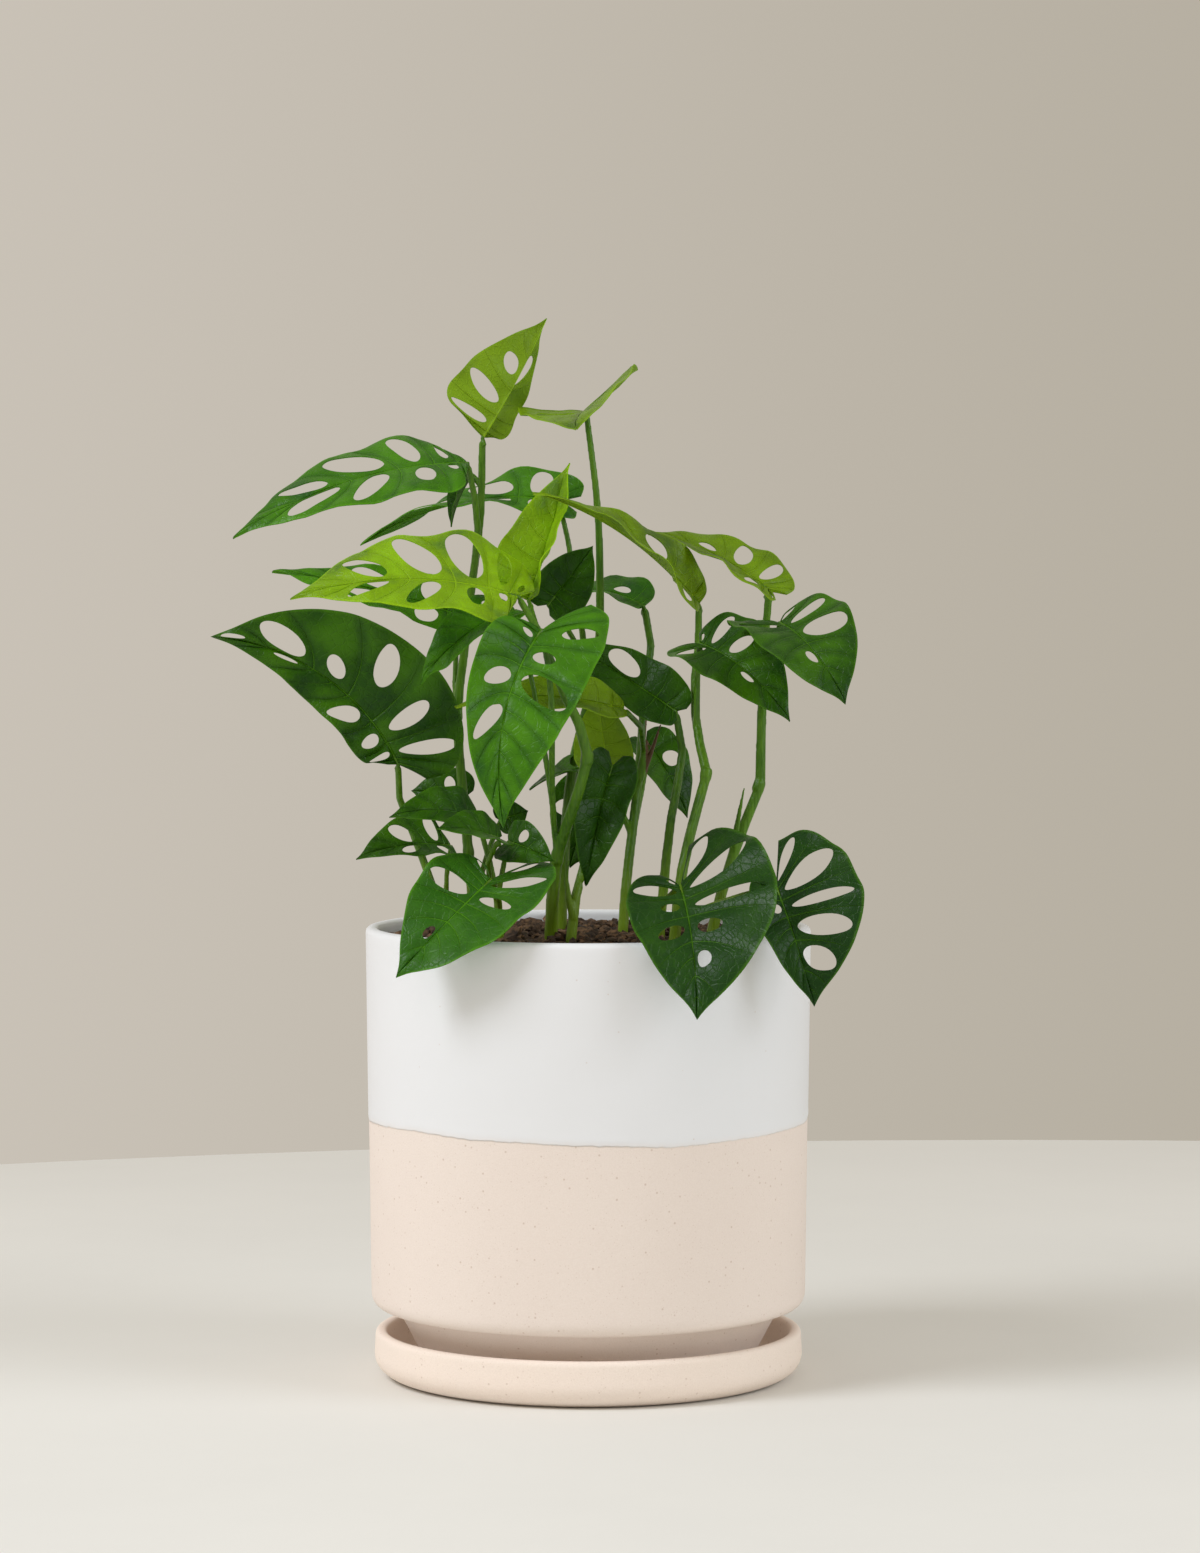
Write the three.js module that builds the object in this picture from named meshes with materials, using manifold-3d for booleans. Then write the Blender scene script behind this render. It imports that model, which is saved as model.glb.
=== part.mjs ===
// A potted monstera: a two-tone pot on its saucer, potting mix, stems and leaf blades.
// Millimetres, +Z up. The origin is the centre of the saucer's underside, and -Y is the front.

import * as THREE from 'three';
import Module from 'manifold-3d';

const wasm = await Module();
wasm.setup();

// ---- Driving dimensions ----

const potRadius = 95;
const potHeight = 186;
const potTaper = 2;
const potWall = 5.5;
const potFloor = 8;
const cornerRadius = 6;
const footInset = 13;
const footTaper = 12;
const footHeight = 23;
const ledgeDrop = 1;
const drainRadius = 8;

const saucerGap = 10.5;
const saucerHeight = 20;
const saucerWall = 5.5;
const saucerTaper = 0.5;
const saucerFloor = 6;
const saucerUndercut = 9.5;

const mixBelowRim = 6;
const mixHeap = 3;
const mixSlump = 1;
const plantingDepth = 10;
const clearance = 0.3;
const socketRoom = 0.8;

const bladeThickness = 0.9;
const marginRipple = 0.02;
const marginWaves = 3;
const petioleStop = 2;

// The plant is drawn for a pot of this radius and grows with the pot.
const drawnPotRadius = 95;

const roundSteps = 36;
const stemSides = 6;
const stemStep = 15;

// ---- Sizes that follow from the ones above ----

const footTopRadius = potRadius - footInset;
const footRadius = footTopRadius - footTaper;
const saucerRadius = footRadius + saucerGap + 2 * saucerWall;
const saucerUnderside = saucerRadius - saucerUndercut;
const potBase = saucerFloor + clearance;
const rimLevel = potBase + potHeight;
const mixLevel = rimLevel - mixBelowRim;
const plantScale = potRadius / drawnPotRadius;

const { degToRad: rad } = THREE.MathUtils;

const object = new THREE.Group();

function material(color, roughness, metalness = 0) {
  return new THREE.MeshStandardMaterial({ color, roughness, metalness });
}

function add(name, geometry, look) {
  const mesh = new THREE.Mesh(geometry, look);
  mesh.name = name;
  object.add(mesh);
}

// A place on the plant: x and y from the pot's axis, z above the potting mix.
function place([x, y, z]) {
  const point = new THREE.Vector3(x, y, z).multiplyScalar(plantScale);
  point.z += mixLevel;
  return point;
}

// ---- Solids ----

function solidOf(geometry) {
  const source = geometry.index ? geometry.toNonIndexed() : geometry;
  const position = source.getAttribute('position');
  const vertProperties = [];
  const triVerts = [];
  const known = new Map();
  for (let i = 0; i < position.count; i += 1) {
    const point = [position.getX(i), position.getY(i), position.getZ(i)];
    const key = point.map((value) => Math.round(value * 1e4)).join();
    if (!known.has(key)) {
      known.set(key, known.size);
      vertProperties.push(...point);
    }
    triVerts.push(known.get(key));
  }
  return new wasm.Manifold(new wasm.Mesh({
    numProp: 3,
    vertProperties: new Float32Array(vertProperties),
    triVerts: new Uint32Array(triVerts),
  }));
}

function geometryOf(solid) {
  const mesh = solid.getMesh();
  const geometry = new THREE.BufferGeometry();
  geometry.setAttribute('position', new THREE.BufferAttribute(mesh.vertProperties, 3));
  geometry.setIndex(new THREE.BufferAttribute(mesh.triVerts, 1));
  return geometry;
}

// A solid turned about Z from a closed outline of radius and height.
function turned(outline) {
  const profile = [];
  for (const point of outline.getPoints(3)) {
    const last = profile[profile.length - 1];
    if (!last || last.distanceTo(point) > 0.01) profile.push(point);
  }
  const geometry = new THREE.LatheGeometry(profile, roundSteps);
  return geometry.rotateX(Math.PI / 2);
}

// ---- Pot, saucer and potting mix ----

function potOutline() {
  const lowRadius = potRadius - potTaper;
  const innerRadius = potRadius - potWall;
  const ledge = footHeight + ledgeDrop;
  const lip = potWall / 2;
  return new THREE.Path()
    .moveTo(drainRadius, 0)
    .lineTo(footRadius, 0)
    .lineTo(footTopRadius, footHeight)
    .lineTo(lowRadius - cornerRadius, ledge)
    .quadraticCurveTo(lowRadius, ledge, lowRadius, ledge + cornerRadius)
    .lineTo(potRadius, potHeight - lip)
    .quadraticCurveTo(potRadius, potHeight, potRadius - lip, potHeight)
    .quadraticCurveTo(innerRadius, potHeight, innerRadius, potHeight - lip)
    .lineTo(innerRadius - potTaper, footHeight + 3 * cornerRadius)
    .quadraticCurveTo(innerRadius - potTaper, footHeight, footRadius, potFloor)
    .lineTo(drainRadius, potFloor)
    .lineTo(drainRadius, 0);
}

function saucerOutline() {
  const lip = saucerWall / 2;
  const rimRadius = saucerRadius - saucerTaper;
  const innerRadius = saucerRadius - saucerWall;
  return new THREE.Path()
    .moveTo(0, 0)
    .lineTo(saucerUnderside, 0)
    .quadraticCurveTo(saucerRadius, 0.15 * saucerHeight, saucerRadius, 0.5 * saucerHeight)
    .lineTo(rimRadius, saucerHeight - lip)
    .quadraticCurveTo(rimRadius, saucerHeight, saucerRadius - lip, saucerHeight)
    .quadraticCurveTo(innerRadius, saucerHeight, innerRadius, saucerHeight - lip)
    .quadraticCurveTo(innerRadius, saucerFloor, innerRadius - saucerWall, saucerFloor)
    .lineTo(0, saucerFloor);
}

// The mix follows the pot's inside, sinks a little at the wall and heaps up in the middle.
function mixOutline() {
  const top = mixLevel - potBase;
  const edge = potRadius - potWall - clearance;
  const bottom = potFloor + clearance;
  return new THREE.Path()
    .moveTo(0, bottom)
    .lineTo(footRadius - clearance, bottom)
    .quadraticCurveTo(edge - potTaper, footHeight, edge - potTaper, footHeight + 3 * cornerRadius)
    .lineTo(edge - clearance, top - mixSlump)
    .lineTo(edge - 3 * mixSlump, top)
    .lineTo(0.5 * edge, top + 0.6 * mixHeap)
    .lineTo(0, top + mixHeap);
}

// ---- Leaf blades ----

// The half outline from beside the stalk to the tip: along the midrib as a share of the blade's
// length, and across as a share of its full width. A lobe reaches back past the stalk joint by
// its share of the blade's length, and a negative one starts ahead of it.
function outline(lobe) {
  const corner = lobe > 0 ? lobe : 0.4 * lobe;
  return new THREE.SplineCurve([
    [-corner, 0.13], [0.01 - lobe, 0.3], [0.07 - 0.5 * lobe, 0.45], [0.2, 0.5], [0.4, 0.47],
    [0.6, 0.36], [0.78, 0.21], [0.91, 0.07], [1, 0],
  ].map(([along, across]) => new THREE.Vector2(along, across)));
}

// Holes by letter: where they start and end from midrib to margin, and their share of the
// space between two side veins.
const holes = {
  s: [0.14, 0.42, 0.5],
  m: [0.16, 0.62, 0.56],
  o: [0.42, 0.84, 0.5],
  l: [0.16, 0.86, 0.52],
  w: [0.15, 0.88, 0.8],
};
const holeRounding = 0.74;

// How closely the side veins crowd towards the stalk, and how far they sag on their way out.
const veinCrowding = 1.8;
const veinSag = 0.2;

// The flat blade: share runs from the stalk to the tip, column from the midrib to the margin.
function flatPoint(share, column, side, lobe) {
  const rib = share ** veinCrowding;
  const edge = outline(lobe).getPoint(share);
  const sag = 4 * veinSag * share ** 2 * (1 - share) * column * (1 - column);
  return [
    THREE.MathUtils.lerp(rib, edge.x, column) - sag,
    side * column * edge.y,
  ];
}

// Maps flat blade points into space. The midrib arches by bend and swings sideways by swing,
// each half folds up from it by fold and curls by cup, and the blade twists from stalk to tip.
function bladeShape(blade) {
  const { from, to, face, halves, fold, cup, bend, swing, twist } = blade;
  const local = (along, across) => {
    const spine = new THREE.Vector3();
    const steps = 10;
    for (let i = 0; i < steps; i += 1) {
      const share = (along * (i + 0.5)) / steps - 0.5;
      const pitch = rad(bend * share);
      const yaw = rad(swing * share);
      spine.x += (Math.cos(pitch) * Math.cos(yaw) * along) / steps;
      spine.y += (Math.cos(pitch) * Math.sin(yaw) * along) / steps;
      spine.z -= (Math.sin(pitch) * along) / steps;
    }
    const pitch = rad(bend * (along - 0.5));
    const yaw = rad(swing * (along - 0.5));
    const roll = rad(twist * (along - 0.5));
    const ahead = new THREE.Vector3(
      Math.cos(pitch) * Math.cos(yaw), Math.cos(pitch) * Math.sin(yaw), -Math.sin(pitch));
    const left = new THREE.Vector3(-Math.sin(yaw), Math.cos(yaw), 0);
    left.applyAxisAngle(ahead, roll);
    const up = ahead.clone().cross(left);
    const half = across > 0 ? 0 : 1;
    const out = 2 * Math.abs(across);
    const lift = rad(fold[half] + 0.5 * cup[half] * out);
    const phase = 2 * Math.PI * marginWaves * along + 2 * Math.sign(across);
    const ripple = marginRipple * out ** 2 * Math.sin(phase);
    spine.addScaledVector(left, 2 * halves[half] * across * Math.cos(lift));
    spine.addScaledVector(up, halves[half] * out * Math.sin(lift) + ripple);
    return spine;
  };
  const chord = local(1, 0).sub(local(0, 0));
  const start = local(0, 0);
  const goal = to.clone().sub(from);
  const size = goal.length() / chord.length();
  const basis = (first, near) => {
    const x = first.clone().normalize();
    const z = near.clone().addScaledVector(x, -near.dot(x)).normalize();
    return new THREE.Matrix4().makeBasis(x, z.clone().cross(x), z);
  };
  const turn = basis(goal, face)
    .multiply(basis(chord, new THREE.Vector3(0, 0, 1)).transpose());
  return (along, across) => local(along, across).sub(start)
    .applyMatrix4(turn).multiplyScalar(size).add(from);
}

// One closed blade: a patch between each two side veins, on each side of the midrib, whole or
// with a hole in it, then the same skin offset to both sides and joined along its edges.
function bladeGeometry(blade, thickness = bladeThickness) {
  const shape = bladeShape(blade);
  const sides = [blade.left, blade.right];
  const rows = 2 * blade.left.length;
  const points = [];
  const known = new Map();
  const vertex = (row, column, side) => {
    const atTip = row > rows - 0.01;
    const lobe = blade.lobe[side > 0 ? 0 : 1];
    const [along, across] = flatPoint(atTip ? 1 : row / rows, atTip ? 0 : column, side, lobe);
    const key = `${along.toFixed(4)},${across.toFixed(4)}`;
    if (!known.has(key)) {
      known.set(key, points.length);
      points.push([along, across]);
    }
    return known.get(key);
  };
  const triangles = [];
  const face = (side, ...corners) => {
    const loop = side > 0 ? corners : corners.reverse();
    for (let i = 2; i < loop.length; i += 1) {
      const triangle = [loop[0], loop[i - 1], loop[i]];
      if (new Set(triangle).size === 3) triangles.push(triangle);
    }
  };
  const ring = [[-1, -1], [0, -1], [1, -1], [1, 0], [1, 1], [0, 1], [-1, 1], [-1, 0]];
  for (const [index, pattern] of sides.entries()) {
    const side = index === 0 ? 1 : -1;
    for (const [band, letter] of [...pattern].entries()) {
      const middle = 2 * band + 1;
      const border = ring.map(([r, c]) => vertex(middle + r, 0.5 + 0.5 * c, side));
      const hole = holes[letter];
      let inner = Array(8).fill(vertex(middle, 0.5, side));
      if (hole) {
        const [start, end, share] = hole;
        inner = ring.map(([r, c]) => {
          const round = r !== 0 && c !== 0 ? holeRounding : 1;
          const column = (start + end) / 2 + (c * round * (end - start)) / 2;
          return vertex(middle + r * round * share, column, side);
        });
      }
      for (let i = 0; i < 8; i += 1) {
        const next = (i + 1) % 8;
        face(side, border[i], border[next], inner[next], inner[i]);
      }
    }
  }
  const reach = 0.01;
  const positions = [];
  for (const layer of [0.5, -0.5]) {
    for (const [along, across] of points) {
      const middle = shape(along, across);
      const ahead = shape(along + reach, across).sub(shape(along - reach, across));
      const left = shape(along, across + reach).sub(shape(along, across - reach));
      const normal = ahead.cross(left).normalize();
      positions.push(...middle.addScaledVector(normal, layer * thickness));
    }
  }
  const under = points.length;
  const edges = new Set(triangles.flatMap(([a, b, c]) => [`${a},${b}`, `${b},${c}`, `${c},${a}`]));
  const indices = [];
  for (const [a, b, c] of triangles) {
    indices.push(a, b, c, under + c, under + b, under + a);
    for (const [p, q] of [[a, b], [b, c], [c, a]]) {
      if (!edges.has(`${q},${p}`)) indices.push(q, p, under + p, q, under + p, under + q);
    }
  }
  const geometry = new THREE.BufferGeometry();
  geometry.setAttribute('position', new THREE.Float32BufferAttribute(positions, 3));
  geometry.setIndex(indices);
  return geometry;
}

// Each blade: stalk joint and tip (x, y, height above the mix), the way its upper face looks,
// the width of its left and right halves as a share of its length, their hole patterns from
// stalk to tip, its leaf colour, and how it is bent.
const blades = {};

function addBlade(name, from, to, face, halves, left, right, tint, form = {}) {
  const both = (value) => (Array.isArray(value) ? value : [value, value]);
  blades[name] = {
    from: place(from),
    to: place(to),
    face: new THREE.Vector3(...face),
    halves,
    left,
    right,
    tint,
    fold: both(form.fold ?? 8),
    cup: both(form.cup ?? 20),
    lobe: both(form.lobe ?? 0.1),
    bend: form.bend ?? 30,
    swing: form.swing ?? 0,
    twist: form.twist ?? 0,
  };
}

const lime = 0x8fb83a;
const fresh = 0x4f8f2a;
const green = 0x35702a;
const deep = 0x234f24;

addBlade('leaf_top', [-45, 0, 214], [-18, 12, 265], [-0.4, 1, 0.5], [0.3, 0.4], '...w.',
  '.llm.', fresh, { fold: [50, 5], cup: [-40, 30], bend: -15, lobe: [-0.05, -0.05] });
addBlade('leaf_top_right', [-1, 20, 226], [-5, -55, 217], [-0.36, 0, 1], [0.4, 0.36], '.ll.',
  '.ll.', fresh, { fold: 12, bend: 10, lobe: 0 });
addBlade('leaf_long_left', [-51, -10, 203], [-148, -40, 171], [-0.1, -0.5, 0.85], [0.22, 0.25],
  '.smlw.', '.mlwl.', green, { bend: 38, fold: 0, cup: 0, lobe: -0.05 });
addBlade('leaf_hanging', [-50, 10, 198], [-59, 14, 176], [-0.8, -0.5, 0.2], [0.25, 0.25], '...',
  '...', deep, { fold: 40, lobe: 0 });
addBlade('leaf_back_left', [-13, 34, 188], [-99, 40, 169], [-0.1, -0.1, 1], [0.14, 0.2], '.lwl.',
  '.lwl.', green, { bend: 45, twist: 90, fold: 0 });
addBlade('leaf_lime', [-29, -58, 147], [-122, -75, 146], [0.1, -0.65, 0.9], [0.22, 0.37],
  '.smll.', 'slwwl.', lime, { bend: 45, fold: 0, cup: 0, lobe: [-0.05, 0.1] });
addBlade('leaf_young', [-25, -28, 145], [-8, -10, 203], [-0.5, -1, 0.2], [0.3, 0.3], '....',
  '.ls.', lime, { fold: [20, 45], bend: -10, lobe: 0 });
addBlade('leaf_pale_back', [-54, 12, 138], [-136, 20, 157], [0.1, -0.8, 0.8], [0.16, 0.16],
  '.ll.', '.ll.', green, { bend: 20, lobe: 0 });
addBlade('leaf_big_left', [-80, -25, 76], [-158, -35, 130], [-0.2, -0.95, 0.3], [0.15, 0.35],
  '.lml.s.', '.lmoswo', deep, { bend: 20, fold: 5, swing: 60, lobe: [-0.05, 0.1] });
addBlade('leaf_curled', [-30, -38, 141], [-69, -62, 111], [-0.4, -0.7, 0.6], [0.25, 0.25], '....',
  '.m..', green, { bend: 50, fold: 10, lobe: 0 });
addBlade('leaf_front', [-19, -72, 133], [-34, -98, 53], [0.1, -0.9, 0.35], [0.33, 0.22],
  '.osw...', '.s.ml..', green, { bend: 35, fold: 8, swing: 45, lobe: [0.3, -0.02] });
addBlade('leaf_behind_front', [37, -14, 98], [-12, 10, 128], [-0.2, -0.8, 0.5], [0.2, 0.22],
  '....', '..w.', deep, { bend: 20, fold: 5, lobe: 0.05 });
addBlade('leaf_round_back', [-17, 0, 143], [2, 4, 168], [0.3, -0.9, 0.2], [0.42, 0.42], '...',
  '...', deep, { fold: 15 });
addBlade('leaf_grey', [24, 32, 142], [-12, 52, 145], [0, -0.3, 0.9], [0.32, 0.34], '.s.', '.s.',
  green, { bend: 60, lobe: 0 });
addBlade('leaf_ribbon', [47, 0, 143], [-23, -44, 190], [0, -0.4, 0.9], [0.15, 0.17], '.l...',
  '..m..', fresh, { bend: 30, twist: 60, fold: 10, swing: 20, lobe: 0 });
addBlade('leaf_right_top', [77, -2, 149], [26, 27, 173], [0.1, -0.3, 1], [0.25, 0.28], 'lll..',
  '.lls.', fresh, { bend: 30 });
addBlade('leaf_right_low', [47, -20, 127], [84, -44, 95], [-0.1, -0.6, 0.8], [0.36, 0.36],
  'slm..', '.l.s.', deep, { bend: 60, lobe: [0.1, 0.1] });
addBlade('leaf_far_right', [80, -38, 136], [106, -68, 103], [0.1, -0.7, 0.7], [0.45, 0.45],
  'llw..', 'ml.s.', deep, { bend: 60, lobe: [0.1, 0.3] });
addBlade('leaf_heart', [38, -74, 28], [44, -116, -23], [-0.1, -1, 0.4], [0.58, 0.36], 'wllsw.',
  'swsm..', deep, { bend: 35, fold: 4, swing: -15, lobe: [0.4, 0.15] });
addBlade('leaf_low_right', [78, -58, 27], [93, -80, -21], [0.1, -0.9, 0.4], [0.6, 0.25],
  'lwlww.', '..s...', deep, { bend: 30, fold: 8, lobe: [0.4, 0.1] });
addBlade('leaf_low_left', [-40, -66, 30], [-78, -92, -8], [-0.3, -0.9, 0.5], [0.52, 0.38],
  'olm...', 'l.w.s.', green, { bend: 35, swing: -15, lobe: [0.3, 0.1] });
addBlade('leaf_small_left', [-58, -18, 41], [-97, -40, 37], [-0.2, -0.7, 0.7], [0.28, 0.35],
  '.ll.', '.ll.', deep, { bend: 40, lobe: -0.05 });
addBlade('leaf_small_upper', [-46, -46, 54], [-82, -66, 56], [-0.1, -0.7, 0.7], [0.28, 0.3], '...',
  '...', deep, { bend: 50, lobe: 0 });
addBlade('leaf_small_lower', [-37, -62, 47], [-62, -78, 52], [-0.2, -0.6, 0.8], [0.4, 0.4],
  '...', '...', deep, { bend: 30 });
addBlade('leaf_small_right', [-33, -50, 45], [-14, -66, 38], [0, -0.9, 0.3], [0.4, 0.4], '.m.',
  '...', deep, { bend: 40 });
addBlade('leaf_drooping', [10, -24, 75], [-1, -34, 25], [-0.3, -1, 0.1], [0.27, 0.27], '....',
  '....', deep, { bend: 30, fold: [5, 45] });
addBlade('leaf_spike', [25, 40, 83], [43, 34, 50], [0.5, -0.8, 0.4], [0.35, 0.35], '.m.', '...',
  deep, {});
addBlade('leaf_dark_back', [4, 34, 63], [-8, 40, 28], [-0.3, -0.9, 0.3], [0.45, 0.45], '.l.',
  '.l.', deep, {});
addBlade('leaf_olive', [8, -8, 75], [4, 0, 105], [-0.2, 1, 0.2], [0.42, 0.42], '...', '...',
  fresh, {});
addBlade('leaf_bright', [15, -22, 99], [-56, -34, 101], [0, -0.6, 0.8], [0.16, 0.16], '....',
  '....', fresh, { bend: 40, lobe: 0 });
addBlade('leaf_inner', [6, 6, 73], [-25, 20, 63], [0, -0.4, 1], [0.35, 0.35], '.l.', '.l.', deep,
  { bend: 40 });
addBlade('leaf_left_back', [-52, 12, 61], [-76, 18, 63], [-0.2, -0.9, 0.4], [0.45, 0.45], '.m.',
  '.m.', deep, {});
addBlade('leaf_dark_low', [-38, 14, 50], [-26, 18, 54], [0, -0.9, 0.3], [0.6, 0.6], '...', '...',
  deep, {});

// ---- Stems ----

// A round tube along its path, from the first thickness to the last.
function tube(path, thickness) {
  const [foot, top] = thickness;
  const steps = Math.max(3, Math.round(path.getLength() / stemStep));
  const ring = new THREE.Shape();
  for (let i = 0; i < stemSides; i += 1) {
    const angle = (2 * Math.PI * i) / stemSides;
    const corner = [Math.cos(angle), Math.sin(angle)];
    if (i === 0) ring.moveTo(...corner);
    else ring.lineTo(...corner);
  }
  ring.closePath();
  const geometry = new THREE.ExtrudeGeometry(ring, { steps, extrudePath: path });
  const centres = path.getSpacedPoints(steps);
  const position = geometry.getAttribute('position');
  const vertex = new THREE.Vector3();
  for (let i = 0; i < position.count; i += 1) {
    vertex.fromBufferAttribute(position, i);
    const distances = centres.map((centre) => centre.distanceTo(vertex));
    const nearest = distances.indexOf(Math.min(...distances));
    const radius = THREE.MathUtils.lerp(foot, top, nearest / steps) / 2;
    vertex.sub(centres[nearest]).multiplyScalar(radius * plantScale).add(centres[nearest]);
    position.setXYZ(i, vertex.x, vertex.y, vertex.z);
  }
  return solidOf(geometry);
}

// A path through places on the plant. A blade's name at its end stands for that blade's
// stalk joint, and the path stops just short of it.
function stemPath(stops) {
  const points = stops.filter((stop) => Array.isArray(stop)).map(place);
  const last = stops[stops.length - 1];
  if (!Array.isArray(last)) {
    const joint = blades[last].from;
    const before = points[points.length - 1];
    const distance = joint.distanceTo(before);
    points.push(joint.clone().lerp(before, petioleStop / distance));
  }
  return new THREE.CatmullRomCurve3(points);
}

// A stalk cut short where it reaches its own blade, with room round the blade's edge too.
function clearOf(stalk, leaf) {
  let left = stalk;
  for (const growth of [1, 1.07]) {
    const room = solidOf(bladeGeometry(leaf, bladeThickness + 4 * clearance));
    const { x, y, z } = leaf.from;
    left = left.subtract(room.translate([-x, -y, -z]).scale(growth).translate([x, y, z]));
  }
  return left.decompose().sort((a, b) => b.volume() - a.volume())[0];
}

// Each shoot is one growing piece: its stalks, with their foot and top thickness, and then
// the short thicker rings where leaves have left the stem.
const shoots = {
  shoot_left_tall: [
    [[4.6, 2.8], [-47, -5, -plantingDepth], [-49, -2, 14], [-54, 2, 68], [-56, 2, 95], [-53, 4, 122],
      [-50, 6, 149], [-46, 4, 179], 'leaf_top'],
    [[3.2, 2.4], [-50, 6, 149], [-48, 2, 164], [-47, -4, 180], 'leaf_long_left'],
    [[2, 1.6], [-46, 4, 179], [-45, 8, 192], 'leaf_hanging'],
    [[2.6, 2], [-56, 2, 95], [-57, 8, 118], 'leaf_pale_back'],
    [[2.6, 2], [-51, 0, 34], [-51, 8, 50], 'leaf_left_back'],
    [[2.6, 2], [-49, -2, 14], [-44, 6, 34], 'leaf_dark_low'],
    [[5, 4.8], [-56, 2, 94], [-56, 2, 97]],
    [[5.2, 5], [-51, 0, 36], [-51.3, 0, 39]],
  ],
  shoot_centre_tall: [
    [[5, 2.4], [-12, 10, -plantingDepth], [-11, 14, 25], [-7, 22, 72], [4, 22, 119], [5, 20, 145],
      [4, 18, 184], 'leaf_top_right'],
    [[3, 2], [1, 23, 100], [-4, 28, 141], [-10, 33, 176], 'leaf_back_left'],
    [[2.6, 2], [2, 22, 110], [-6, 12, 128], 'leaf_round_back'],
    [[2.6, 2], [-10, 18, 46], [-3, 28, 58], 'leaf_dark_back'],
  ],
  shoot_front: [
    [[5.4, 4.4], [-16, -30, -plantingDepth], [-15, -32, 20], [-13, -34, 38], [-5, -42, 62],
      [0, -46, 80]],
    [[4.4, 2.6], [0, -46, 80], [-3, -49, 92], [-11, -56, 109], [-20, -63, 132], 'leaf_lime'],
    [[2.6, 2.4], [-13, -34, 38], [-15, -42, 62], [-15, -60, 102], [-17, -69, 124],
      'leaf_front'],
    [[2.6, 2], [-11, -56, 109], [-20, -42, 130], 'leaf_young'],
    [[2.4, 1.8], [-15, -42, 62], [-22, -44, 105], 'leaf_curled'],
    [[6, 5.4], [-13.4, -33.6, 35], [-12.6, -34.4, 40]],
    [[5.4, 5], [-0.6, -45.6, 77.5], [-0.2, -46.2, 82]],
  ],
  shoot_right_inner: [
    [[4.4, 3], [29, -30, -plantingDepth], [32, -26, 27], [35, -22, 53], [40, -9, 82],
      'leaf_behind_front'],
  ],
  shoot_right: [
    [[4.8, 4], [35, -42, -plantingDepth], [39, -36, 29], [43, -30, 47], [50, -24, 72]],
    [[4, 2.8], [50, -24, 72], [46, -12, 91], [45, -5, 107], [47, -1, 128], 'leaf_ribbon'],
    [[2.8, 2], [46, -12, 91], [46, -16, 108], 'leaf_right_low'],
    [[5, 4.8], [49.4, -24.6, 70], [50, -23.6, 74]],
    [[4.2, 0.8], [41, -33, 38], [44, -31, 52], [49, -27, 66]],
  ],
  shoot_far_right: [
    [[5, 4.2], [49, -20, -plantingDepth], [57, -16, 23], [64, -12, 44], [73, -8, 66]],
    [[4.2, 3], [73, -8, 66], [74, -4, 103], [76, -2, 140], 'leaf_right_top'],
    [[2.8, 2], [74, -4, 103], [79, -22, 120], 'leaf_far_right'],
    [[5.4, 5], [71.8, -8.4, 64], [73, -8, 68]],
    [[3.6, 0.6], [61, -13, 36], [63, -16, 50], [66, -18, 66]],
  ],
  shoot_back: [
    [[4.4, 3], [14, -6, -plantingDepth], [16, -2, 22], [21, 10, 64], [24, 20, 100], [27, 30, 130],
      'leaf_grey'],
    [[3, 2.2], [21, 10, 64], [24, 4, 84], [20, -14, 95], 'leaf_bright'],
    [[2.6, 2], [19, 4, 43], [12, 6, 60], 'leaf_inner'],
    [[2.6, 2], [20, 6, 50], [25, 24, 74], 'leaf_spike'],
    [[3.2, 0.6], [22, 9, 68], [27, 7, 80], [31, 5, 92]],
  ],
  shoot_left: [
    [[3.8, 2.6], [-55, -14, -plantingDepth], [-64, -8, 17], [-73, -6, 42], [-80, -16, 62],
      'leaf_big_left'],
    [[2.4, 1.8], [-60, -11, 8], [-60, -16, 28], 'leaf_small_left'],
  ],
  shoot_drooping: [
    [[4.6, 2.8], [-8, -44, -plantingDepth], [-5, -38, 22], [4, -22, 49], [12, -17, 69],
      'leaf_drooping'],
    [[2.6, 2], [4, -22, 49], [7, -13, 64], 'leaf_olive'],
    [[3.6, 0.6], [-6, -41, 12], [-9, -42, 26], [-8, -42, 37]],
  ],
  shoot_low_left: [
    [[3.4, 2], [-36, -40, -plantingDepth], [-38, -42, 20], [-42, -44, 40], 'leaf_small_upper'],
    [[2.4, 2], [-37, -41, 12], [-37, -54, 22], 'leaf_low_left'],
    [[2.4, 2], [-38, -42, 20], [-42, -54, 34], 'leaf_small_lower'],
    [[2.4, 2], [-38, -42, 20], [-35, -43, 36], 'leaf_small_right'],
  ],
  shoot_low_right: [
    [[3.6, 2.4], [24, -50, -plantingDepth], [27, -56, 12], [33, -68, 24], 'leaf_heart'],
    [[3, 2.2], [26, -53, 8], [46, -48, 16], [68, -54, 24], 'leaf_low_right'],
  ],
};

// ---- Assembly ----

const ceramic = material(0xece9e4, 0.6);
const stoneware = material(0xe9d3c5, 0.85);

add('pot', turned(potOutline()).translate(0, 0, potBase), ceramic);
add('saucer', turned(saucerOutline()), stoneware);

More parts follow.
